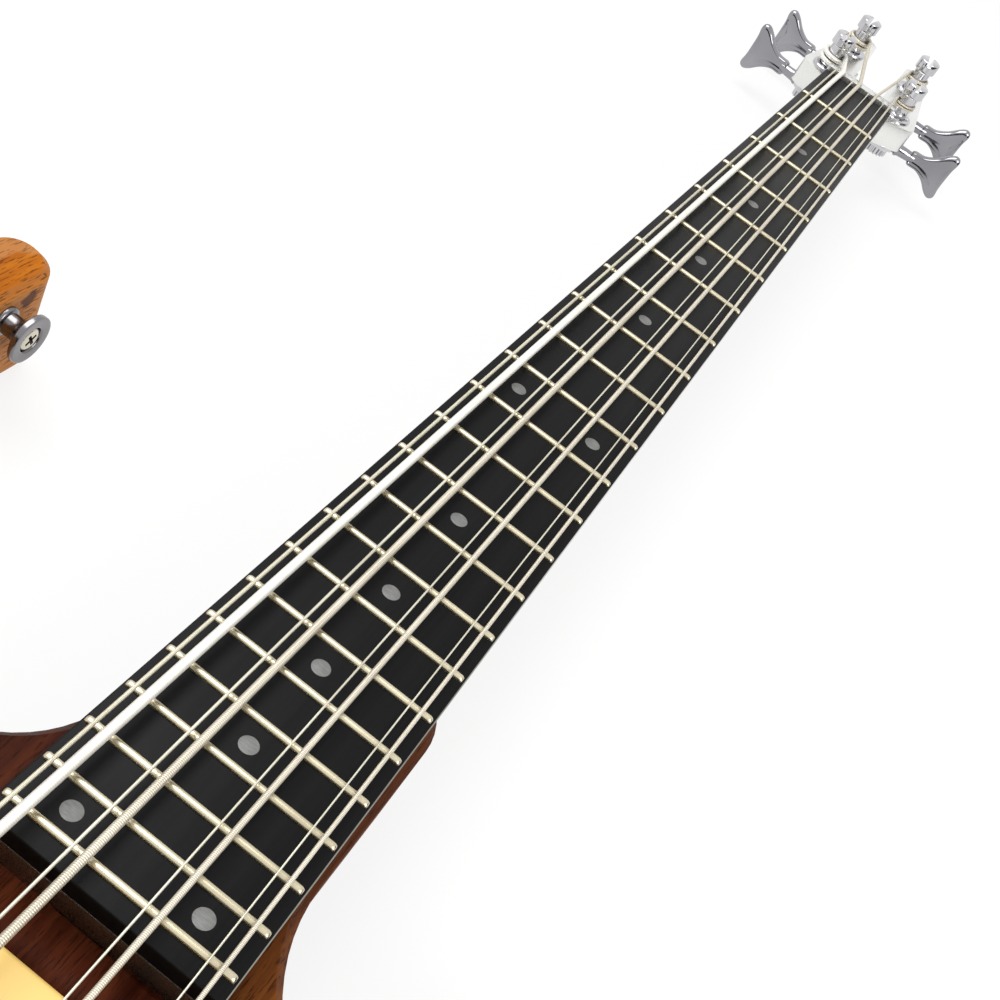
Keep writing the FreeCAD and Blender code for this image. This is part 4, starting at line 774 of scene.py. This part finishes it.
def make_body_and_neck():
    body = copied("body")
    body.soften(1.4, 4, 30, slanted)
    body.stand_in("body", WOOD, "body_wood", 50)
    dressed("neck_beam", ALUMINIUM, "neck_metal", 0.35)
    for side in ("bass", "treble"):
        dressed("neck_insert_" + side, NECK_WOOD, "neck_wood", 0.2)
    dressed("nut", ALUMINIUM, "neck_metal", 0.15, room=0.45)
    dressed("octave_anchor", ALUMINIUM, "neck_metal", 0.3)


def make_pickups():
    screws = Build()
    for cover, middle in PICKUP_MIDDLES.items():
        dressed(cover, CREAM, "pickup_cream", 0.7, 4)
        for side in (-1, 1):
            screws.cross_screw((middle, side * PICKUP_SCREW_OFFSET, PICKUP_TOP), UP, 5.2, 1.1, 0.4 * side)
    screws.finish("pickup_screws", CHROME, "chrome_plate")
    coils = frame["nodes"]["pickup_coils"].data
    coils.materials.clear()
    coils.materials.append(BLACK_PLASTIC)


# Plates and screws

PLATE_THICKNESS = 3
PLATE_EDGE_ROUND = 0.5
NECK_PLATE = (-301.6, -217.6, -27, 27)
NECK_PLATE_ROUND = 7
BOLTS = [(x, y) for x in (-288.6, -230.6) for y in (-19, 19)]
BOLT_HEAD = 9.4
BOLT_HEAD_DEPTH = 2.4
BOLT_SHAFT = ((0, 2), (2.5, 2), (2.5, 44.7), (0, 44.7))
COVER = (-45.2, 73.05, 68.15, 141.85)
COVER_ROUND = 21.85
COVER_SCREW_INSET = 4
COVER_SCREW_HEAD = 5.6
COVER_SCREW_DEPTH = 1.6
HOLE_ROOM = 0.3
# Screw heads in the back plates rise from this level, and end a little inside the plate.
HEAD_FOOT = 0.5
HEAD_RISE = 0.35
STRAP_PROFILE = (
    (0, 0), (5, 0), (5, 1.1), (4.7, 1.5), (3.75, 1.8), (3.65, 3.4), (3.7, 5.2), (4.3, 6.2), (6.3, 7.5),
    (7.7, 8.3), (8.15, 8.55), (8.25, 8.8), (8.25, 10.15), (8.17, 10.38), (7.95, 10.48), (7.5, 10.5),
    (5.1, 10.42), (4.65, 10.36), (4.38, 10.1), (4.3, 9.6), (4.25, 8.4), (0, 8.4),
)
STRAP_SCREW_FOOT = 8.7
STRAP_SCREW_HEAD = 8.3


def rounded_outline(x_low, x_high, y_low, y_high, radius, steps=8):
    """Corners of a flat rectangle with round corners."""
    left, right = x_low + radius, x_high - radius
    near, far = y_low + radius, y_high - radius
    outline = []
    for quarter, (x, y) in enumerate(((right, far), (left, far), (left, near), (right, near))):
        for step in range(steps + 1):
            angle = math.pi / 2 * (quarter + step / steps)
            outline.append((x + radius * math.cos(angle), y + radius * math.sin(angle)))
    return outline


def make_plate(node, material, slot, corners, radius, holes):
    """A plate with round corners and holes, softened along its rim."""
    plate = Build()
    rim = plate.plate(rounded_outline(*corners, radius), holes, PLATE_THICKNESS)

    def on_rim(edge):
        first, second = edge.verts
        return rim.issuperset(edge.verts) and first.co.z == second.co.z

    plate.soften(PLATE_EDGE_ROUND, 3, 30, on_rim)
    plate.stand_in(node, material, slot)


def make_back_plates():
    """The neck plate and the control cover, with flat cross-head screws in their holes."""
    holes = (BOLTS, BOLT_HEAD + HOLE_ROOM)
    make_plate("neck_plate", CHROME, "chrome_plate", NECK_PLATE, NECK_PLATE_ROUND, holes)
    bolts = Build()
    for index, (x, y) in enumerate(BOLTS):
        bolts.cross_screw((x, y, HEAD_FOOT), DOWN, BOLT_HEAD, HEAD_RISE, 0.7 * index, BOLT_HEAD_DEPTH)
        bolts.turned(BOLT_SHAFT, placed((x, y, 0)), 20)
    bolts.stand_in("neck_bolts", SCREW_METAL, "chrome_plate")
    x_low, x_high, y_low, y_high = COVER
    inset = COVER_ROUND - (COVER_ROUND - COVER_SCREW_INSET) / math.sqrt(2)
    spots = [(x, y) for x in (x_low + inset, x_high - inset) for y in (y_low + inset, y_high - inset)]
    for y in (y_low + COVER_SCREW_INSET, y_high - COVER_SCREW_INSET):
        spots.append(((x_low + x_high) / 2, y))
    holes = (spots, COVER_SCREW_HEAD + HOLE_ROOM)
    make_plate("control_cover", BLACK_PLASTIC, "cover_black", COVER, COVER_ROUND, holes)
    screws = Build()
    for index, (x, y) in enumerate(spots):
        foot = (x, y, HEAD_FOOT)
        screws.cross_screw(foot, DOWN, COVER_SCREW_HEAD, HEAD_RISE, 0.9 * index, COVER_SCREW_DEPTH)
    screws.finish("cover_screws", SCREW_METAL, "chrome_plate")


def make_strap_buttons():
    """Turned buttons with a rolled rim, and a cross-head screw in the hollow of each."""
    buttons = Build()
    screws = Build()
    for index, (foot, axis) in enumerate(STRAP_FEET):
        buttons.turned(STRAP_PROFILE, placed(foot, axis), 56)
        head = Vector(foot) + Vector(axis) * STRAP_SCREW_FOOT
        screws.cross_screw(head, axis, STRAP_SCREW_HEAD, 1.5, 0.5 + 0.4 * index, 0.2)
    buttons.stand_in("strap_buttons", DARK_CHROME, "chrome_plate")
    screws.finish("strap_screws", SCREW_METAL, "chrome_plate")


# Tuners, each in a frame of its own, mirrored on the bass side: post along Z, mount at zero, key towards Y

MAIN_TUNER = SimpleNamespace(
    posts=MAIN_POSTS, back=HEAD_BACK, turn=8,
    post=9.5, top=35, flare_start=27.5, flare_rise=2, flare=12.4, slot=3, slot_depth=6,
    gear=16, gear_thickness=6, teeth=20, tooth=1.4, plate=2, worm=6.4, worm_length=9.4, shaft=4.6,
    shaft_back=-10.2, shank=8, shank_start=9.2, shank_end=22, key_length=25, key_height=29,
    key_thickness=5.5, screw=3.8, screw_spots=((-18.6, 0), (9.3, 4.4), (9.3, -4.4)),
)
OCTAVE_TUNER = SimpleNamespace(
    posts=OCTAVE_POSTS, back=SHELF_BACK, turn=-90,
    post=6, top=30, flare_start=25, flare_rise=1.5, flare=8, slot=1.6, slot_depth=4,
    gear=12, gear_thickness=4.5, teeth=16, tooth=1.1, plate=1.5, worm=4.4, worm_length=7, shaft=3,
    shaft_back=-7.6, shank=5.2, shank_start=8, shank_end=32, key_length=15, key_height=17,
    key_thickness=4.4, screw=3, screw_spots=((-12.9, 0), (7, 4.2), (7, -4.2)),
)
BUSHING = ((8.5, 0), (8.5, 0.9), (8, 1.4), (5.55, 1.4), (5.05, 1), (5.05, 0))
FLARE_STEPS = 5
FLARE_POWER = 1.6
HEAD_STEPS = 20
# Distance below the top of the post's head, and how far its edge is drawn in there
HEAD_EDGE = ((0.9, 0), (0.3, 0.25), (0, 0.8))
# Share of a tooth's pitch, and of its height over the root
TOOTH = ((0.16, 0), (0.36, 1), (0.64, 1), (0.84, 0))
# Share of the shank's radius, and distance from its start
SHANK = ((0, 0), (0.9, 0), (1, 0.4), (1, 1.6), (0.8, 2.1), (0.8, 2.9), (1, 3.4), (1, 4.6), (0.84, 5.6))
KEY_OUTLINE = (
    (0, 0.13), (0.28, 0.16), (0.52, 0.27), (0.72, 0.43), (0.86, 0.5), (0.96, 0.48), (1, 0.4), (0.97, 0.2)
)
# Share of the way from the spine to the rim, then height as a share of half the thickness
KEY_DISH = ((0, 0.6), (0.35, 0.66), (0.58, 0.86), (0.76, 1), (0.88, 0.93), (0.95, 0.72), (0.99, 0.36), (1, 0))
KEY_SPINE = (0.04, 0.76)


def make_post(node, tuner, place):
    """A slotted round post with a flared head, over its gear and the gear's screw."""
    made = Build()
    half = tuner.post / 2
    wide = tuner.flare / 2
    low = -tuner.plate - RUNNING_GAP - tuner.gear_thickness
    floor = tuner.top - tuner.slot_depth
    profile = [(0, low), (half, low), (half, tuner.flare_start)]
    for step in range(1, FLARE_STEPS + 1):
        part = step / FLARE_STEPS
        radius = half + (wide - half) * part ** FLARE_POWER
        profile.append((radius, tuner.flare_start + tuner.flare_rise * part))
    profile += [(wide, floor), (0, floor)]
    made.turned(profile, place, 48)
    edge = math.asin(tuner.slot / tuner.flare)
    levels = [(floor - 0.4, wide)] + [(tuner.top - below, wide - inset) for below, inset in HEAD_EDGE]
    for side in (-1, 1):
        rings = []
        for height, reach in levels:
            ring = []
            for step in range(HEAD_STEPS + 1):
                angle = edge + (math.pi - 2 * edge) * step / HEAD_STEPS
                out = side * max(reach * math.sin(angle), tuner.slot / 2)
                ring.append(place @ Vector((reach * math.cos(angle), out, height)))
            rings.append(ring)
        made.rings(rings)
    outline = []
    root = tuner.gear / 2 - tuner.tooth
    for tooth in range(tuner.teeth):
        for share, rise in TOOTH:
            angle = FULL_TURN * (tooth + share) / tuner.teeth
            radius = root + tuner.tooth * rise
            outline.append((radius * math.cos(angle), radius * math.sin(angle)))
    made.prism(outline, low, low + tuner.gear_thickness, place)
    made.cross_screw(place @ Vector((0, 0, low)), DOWN, tuner.gear * 0.42, 1.0, 0.6, 0.6)
    made.stand_in(node, CHROME, "chrome_plate")


def key_outline(steps=5):
    """A smooth closed line through the corners of the key."""
    corners = [Vector(corner) for corner in KEY_OUTLINE]
    corners += [Vector((along, -out)) for along, out in reversed(KEY_OUTLINE)]
    outline = []
    rows = zip(corners[-1:] + corners, corners, corners[1:] + corners, corners[2:] + corners)
    for before, here, after, beyond in rows:
        for step in range(steps):
            part = step / steps
            spot = here * 2 + (after - before) * part
            spot += (before * 2 - here * 5 + after * 4 - beyond) * part ** 2
            spot += (here * 3 - before - after * 3 + beyond) * part ** 3
            outline.append(spot / 2)
    return outline


def make_key(node, tuner, place):
    """A dished fish-tail key on its turned shank, with the shaft and the worm thread."""
    made = Build()
    x = -(tuner.gear / 2 + tuner.worm / 2 + RUNNING_GAP)
    z = -(tuner.plate + RUNNING_GAP + tuner.gear_thickness / 2)
    axis = place @ placed((x, 0, z), (0, 1, 0))
    half = tuner.shaft / 2
    start = tuner.shank_start
    back = tuner.shaft_back
    shaft = ((0, back), (half * 0.8, back), (half, back + 0.4), (half, start + 1), (0, start + 1))
    made.turned(shaft, axis, 24)
    reach = tuner.worm_length / 2
    made.thread(axis, tuner.worm / 2, tuner.worm * 0.14, -reach, reach, tuner.worm * 0.36)
    wide = tuner.shank / 2
    end = tuner.shank_end + 0.1 * tuner.key_length
    profile = [(wide * share, start + along) for share, along in SHANK]
    profile += [(wide * 0.74, tuner.shank_end), (wide * 0.6, end), (0, end + 0.4)]
    made.turned(profile, axis, 32)
    levels = [(share, -rise) for share, rise in KEY_DISH]
    levels += [(share, rise) for share, rise in reversed(KEY_DISH[:-1])]
    rings = []
    for share, rise in levels:
        ring = []
        for along, out in key_outline():
            spine = min(max(along, KEY_SPINE[0]), KEY_SPINE[1])
            spot_along = tuner.shank_end + (spine + (along - spine) * share) * tuner.key_length
            spot_out = z + out * share * tuner.key_height
            ring.append(place @ Vector((x + rise * tuner.key_thickness / 2, spot_along, spot_out)))
        rings.append(ring)
    made.rings(rings, caps=False)
    bmesh.ops.remove_doubles(made.mesh, verts=made.mesh.verts, dist=0.002)
    made.stand_in(node, KEY_CHROME_SHADED, "chrome_plate", 50)


def make_tuners():
    screws = Build()
    for kind, tuner in (("tuner", MAIN_TUNER), ("octave", OCTAVE_TUNER)):
        spin = Matrix.Rotation(math.radians(tuner.turn), 4, "Z")
        for course, spot in tuner.posts.items():
            mirror = Matrix.Diagonal((1, math.copysign(1, spot[1]), 1, 1))
            place = Matrix.Translation((*spot, tuner.back)) @ mirror @ spin
            make_key(f"{kind}_key_{course}", tuner, place)
            make_post(f"{kind}_post_{course}", tuner, place)
            for index, (x, y) in enumerate(tuner.screw_spots):
                foot = place @ Vector((x, y, -tuner.plate))
                screws.cross_screw(foot, DOWN, tuner.screw, tuner.screw * 0.26, 0.8 * index, 0.4)
        dressed(kind + "_brackets", CHROME, "chrome_plate", 0.25, room=0.75)
    screws.finish("tuner_screws", SCREW_METAL, "chrome_plate")
    rings = Build()
    for spot in MAIN_POSTS.values():
        rings.turned(BUSHING, placed((*spot, HEAD_BACK + HEAD_THICKNESS)), 48, loop=True)
    rings.stand_in("tuner_bushings", CHROME, "chrome_plate")


# Bridge

BRIDGE_BASE_TOP = 44
BRIDGE_WALL_FRONT = 30
BRIDGE_REAR = 38
SADDLE_REAR = 8
COURSE_MIDDLES = (-29.72, -11.9, 10.37, 29.06)
SIDE_SCREW_OFFSET = 5.5
SIDE_SCREW_LEVEL = 49
SPRING_TURNS = 9
SPRING_STEPS = 16
SPRING_RADIUS = 2.1
SPRING_WIRE_RADIUS = 0.38
HEIGHT_SCREW_X = -5.2
HEIGHT_SCREW_OFFSET = 5.4
HEIGHT_SCREW_TOP = 57.5
HEIGHT_SCREW_PROFILE = ((0, -4), (1.5, -4), (1.5, -0.25), (1.25, 0), (0.85, 0), (0.8, -1), (0, -1))
BASE_SCREW_X = -19.5
BASE_SCREWS = (-36, -18, 0, 18, 36)


def make_bridge():
    """Base and saddles with their length screws and springs, height screws and mounting screws."""
    dressed("bridge_base", BRASS, "bridge_brass", 0.5, 3, room=1.5)
    dressed("saddles", BRASS, "bridge_brass", 0.3, 3, 20, room=0.9)
    screws = Build()
    count = SPRING_TURNS * SPRING_STEPS
    for middle in COURSE_MIDDLES:
        y = middle - SIDE_SCREW_OFFSET
        rod = placed((0, y, SIDE_SCREW_LEVEL), (1, 0, 0))
        screws.thread(rod, 1.35, 0.3, SADDLE_REAR - 1, BRIDGE_WALL_FRONT + 1, 0.8, 16)
        screws.cross_screw((BRIDGE_REAR, y, SIDE_SCREW_LEVEL), (1, 0, 0), 5, 1.7, middle, 0.4)
        spring = []
        for step in range(count + 1):
            angle = FULL_TURN * step / SPRING_STEPS
            x = SADDLE_REAR + 0.5 + (BRIDGE_WALL_FRONT - SADDLE_REAR - 1) * step / count
            z = SIDE_SCREW_LEVEL + SPRING_RADIUS * math.sin(angle)
            spring.append(Vector((x, y + SPRING_RADIUS * math.cos(angle), z)))
        screws.tube(spring, SPRING_WIRE_RADIUS, 8)
        for side in (-1, 1):
            top = placed((HEIGHT_SCREW_X, middle + side * HEIGHT_SCREW_OFFSET, HEIGHT_SCREW_TOP))
            screws.turned(HEIGHT_SCREW_PROFILE, top, 24)
    for index, y in enumerate(BASE_SCREWS):
        screws.cross_screw((BASE_SCREW_X, y, BRIDGE_BASE_TOP), UP, 5.6, 1.3, 0.5 * index, 0.3)
    screws.finish("bridge_screws", CHROME, "chrome_plate")


# Controls, with profiles of radius and height pairs

KNOB_LOW = 42.6
KNOB_SHAFT = ((0, -16), (3, -16), (3, 0.5), (0, 0.5))
KNOB_SKIRT = ((0, 0), (11.3, 0), (12, 0.6), (12, 2.3), (11.7, 2.8), (11, 3), (0, 3))
KNOB_GRIP = ((0, 2.8), (11, 2.8), (11.1, 3.6), (10.7, 12.6), (10.3, 13.4), (0, 13.4))
KNOB_CAP = ((0, 13.2), (10, 13.2), (10, 14), (9.7, 14.6), (9.1, 14.95), (8.4, 15), (7.4, 14.7), (0, 14.6))
KNOB_FLUTE_DEPTH = 0.55
KNOB_FLUTES = 32
KNOB_MARK = ((3.5, -0.6), (9, -0.6), (9, 0.6), (3.5, 0.6))
SELECTOR_PIVOT = 37
SELECTOR_RING = ((8.4, 0), (8.4, 1), (7.9, 1.5), (5.9, 1.5), (5.6, 1.1), (5.6, 0))
SELECTOR_LEVER = ((0, -1.6), (1.8, -1.6), (3.2, 0), (1.8, 1.6), (1.8, 15.5), (0, 15.5))
SELECTOR_TIP = (
    (0, 15), (1.9, 15), (2.2, 16.5), (2.9, 19), (3.4, 20.6), (3.45, 21.2), (3.1, 21.75), (2.2, 22), (0, 22)
)
JACK_SPOT = (59.528, 167, 20)
JACK_OUT = (0.2955, 0.9554, 0)
JACK_FLANGE = ((14, 0), (14, 1.5), (13.7, 2), (13, 2.2), (5.4, 2.2), (5.4, 0))
JACK_BARREL = ((9, -24), (9, -0.1), (3.2, -0.1), (3.2, -21))
JACK_COLLAR = ((5.3, -0.2), (5.3, 3.9), (4.9, 4.3), (3.6, 4.3), (3.2, 3.9), (3.2, -0.2))
JACK_FLOOR = ((0, -24), (8.9, -24), (8.9, -20.9), (0, -20.9))
JACK_NUT = ((8.6, 2.1), (8.6, 3.4), (8.1, 3.7))


def make_knobs():
    """Fluted knobs with a skirt, a dished cap and a white mark, on their shafts."""
    for label, (x, y, turn) in KNOBS.items():
        node = "knob_" + label
        place = placed((x, y, KNOB_LOW), UP, turn)
        made = Build()
        made.turned(KNOB_SHAFT, place, 24)
        made.turned(KNOB_SKIRT, place, 72)
        made.turned(KNOB_GRIP, place, 192, KNOB_FLUTE_DEPTH, KNOB_FLUTES)
        made.turned(KNOB_CAP, place, 72)
        made.stand_in(node, KNOB_METAL, "knob_metal", 35)
        mark = Build()
        mark.prism(KNOB_MARK, 14.3, 15.1, place, 0.1)
        mark.finish("knob_mark_" + label, WHITE_PAINT, "knob_metal", body=body_of(node))


def make_selector():
    dressed("selector_body", KNOB_METAL, "control_dark", 0.2)
    ring = Build()
    ring.turned(SELECTOR_RING, placed((*SELECTOR, BODY_TOP)), 36, loop=True)
    ring.finish("selector_ring", CHROME, "chrome_plate")
    pivot = placed((*SELECTOR, SELECTOR_PIVOT))
    lever = Build()
    lever.turned(SELECTOR_LEVER, pivot, 28)
    lever.stand_in("selector_lever", CHROME, "chrome_plate")
    tip = Build()
    tip.turned(SELECTOR_TIP, pivot, 32)
    tip.finish("selector_tip", BLACK_PLASTIC, "control_dark", body=body_of("selector_lever"))


def make_jack():
    """A round flange with a nut, and the socket through it."""
    out = placed(JACK_SPOT, JACK_OUT)
    made = Build()
    made.turned(JACK_FLANGE, out, 64, loop=True)
    made.turned(JACK_BARREL, out, 32, loop=True)
    made.turned(JACK_COLLAR, out, 40, loop=True)
    made.turned(JACK_FLOOR, out, 24)
    made.turned(JACK_NUT, out, 6)
    made.stand_in("output_jack", CHROME, "chrome_plate")


# Stage

WORLD_TINT = (1, 0.99, 0.97, 1)
WORLD_STRENGTH = 0.55
FLOOR_SIZE = 8.0
FLOOR_LEVEL = -0.0006
FLOOR_GLOW_SHARE = 0.8
# Place, aim, width and height in metres, and for the lamps the power in watts
CARDS = {
    "card_behind": ((1.4, 0.0, 0.35), (-0.4, 0, 0.1), 2.4, 0.8),
    "card_treble": ((-0.5, 1.3, 0.3), (-0.5, 0, 0.05), 2.0, 0.6),
}
LAMPS = {
    "key": ((-0.6, -0.7, 1.5), (-0.4, 0, 0), 1.2, 1.2, 21),
    "fill": ((0.2, 1.3, 1.1), (-0.3, 0, 0), 1.0, 1.0, 17),
}
CAMERA_SPOT = (-0.054785, 0.034956, 0.323985)
CAMERA_RIGHT = (-0.45217774, 0.79049758, 0.41309668)
CAMERA_UP = (-0.46585278, -0.60427161, 0.64640314)
CAMERA_BACK = (0.76060271, 0.09984687, 0.64149366)
CAMERA_LENS = 52.449
CAMERA_SENSOR = 36
CAMERA_SHIFT = 0.0566


def aimed(label, data, spot, aim):
    """An object whose own minus Z points from its spot to an aim."""
    made = linked(label, data)
    made.location = spot
    made.rotation_euler = (Vector(aim) - Vector(spot)).to_track_quat("-Z", "Y").to_euler()
    return made


def flat_mesh(label, width, height, level=0.0):
    data = bpy.data.meshes.new(label)
    corners = ((-width, -height), (width, -height), (width, height), (-width, height))
    data.from_pydata([(x / 2, y / 2, level) for x, y in corners], [], [(0, 1, 2, 3)])
    return data


def make_world():
    world = bpy.data.worlds.new("studio")
    bpy.context.scene.world = world
    world.use_nodes = True
    world.node_tree.nodes.clear()
    sky = Nodes(world.node_tree)
    seen = sky.node("Background", {"Color": (1, 1, 1, 1)})
    light = sky.node("Background", {"Color": WORLD_TINT, "Strength": WORLD_STRENGTH})
    sky.blend_to(sky.node("OutputWorld"), sky.direct_rays(), light, seen)


def make_floor():
    """A white floor that glows for the eye and keeps a faint shadow."""
    data = flat_mesh("floor", FLOOR_SIZE, FLOOR_SIZE, FLOOR_LEVEL)
    floor = linked("floor", data)
    made = Finish("floor_white", (0.9, 0.9, 0.9), 0.0, 0.9)
    glow = made.node("Emission")
    share = made.math("MULTIPLY", made.direct_rays(), FLOOR_GLOW_SHARE)
    made.blend_to(made.tree.nodes["Material Output"], share, made.shader, glow)
    data.materials.append(made.material)


def make_cards():
    """Dark cards beside the set that only show in shiny metal, as an unlit room does."""
    for label, (spot, aim, width, height) in CARDS.items():
        data = flat_mesh(label, width, height)
        data.materials.append(CARD)
        card = aimed(label, data, spot, aim)
        for rays in ("camera", "diffuse", "shadow", "transmission"):
            setattr(card, "visible_" + rays, False)


def make_lamps():
    for label, (spot, aim, width, height, power) in LAMPS.items():
        data = bpy.data.lights.new(label, "AREA")
        data.shape = "RECTANGLE"
        data.size = width
        data.size_y = height
        data.energy = power
        aimed(label, data, spot, aim)


def make_camera():
    data = bpy.data.cameras.new("camera")
    data.sensor_width = CAMERA_SENSOR
    data.lens = CAMERA_LENS
    data.shift_x = CAMERA_SHIFT
    data.clip_start = 0.01
    camera = linked("camera", data)
    axes = Matrix((CAMERA_RIGHT, CAMERA_UP, CAMERA_BACK)).transposed()
    camera.matrix_world = Matrix.Translation(CAMERA_SPOT) @ axes.to_4x4()
    bpy.context.scene.camera = camera


# All pieces, in order

make_board()
make_frets()
make_dots()
for string_name in STRINGS:
    make_string(string_name)
make_body_and_neck()
make_pickups()
make_back_plates()
make_strap_buttons()
make_tuners()
make_bridge()
make_knobs()
dressed("potentiometers", KNOB_METAL, "knob_metal", 0.25)
make_selector()
make_jack()
make_world()
make_floor()
make_cards()
make_lamps()
make_camera()
bpy.context.scene.view_settings.view_transform = "Standard"
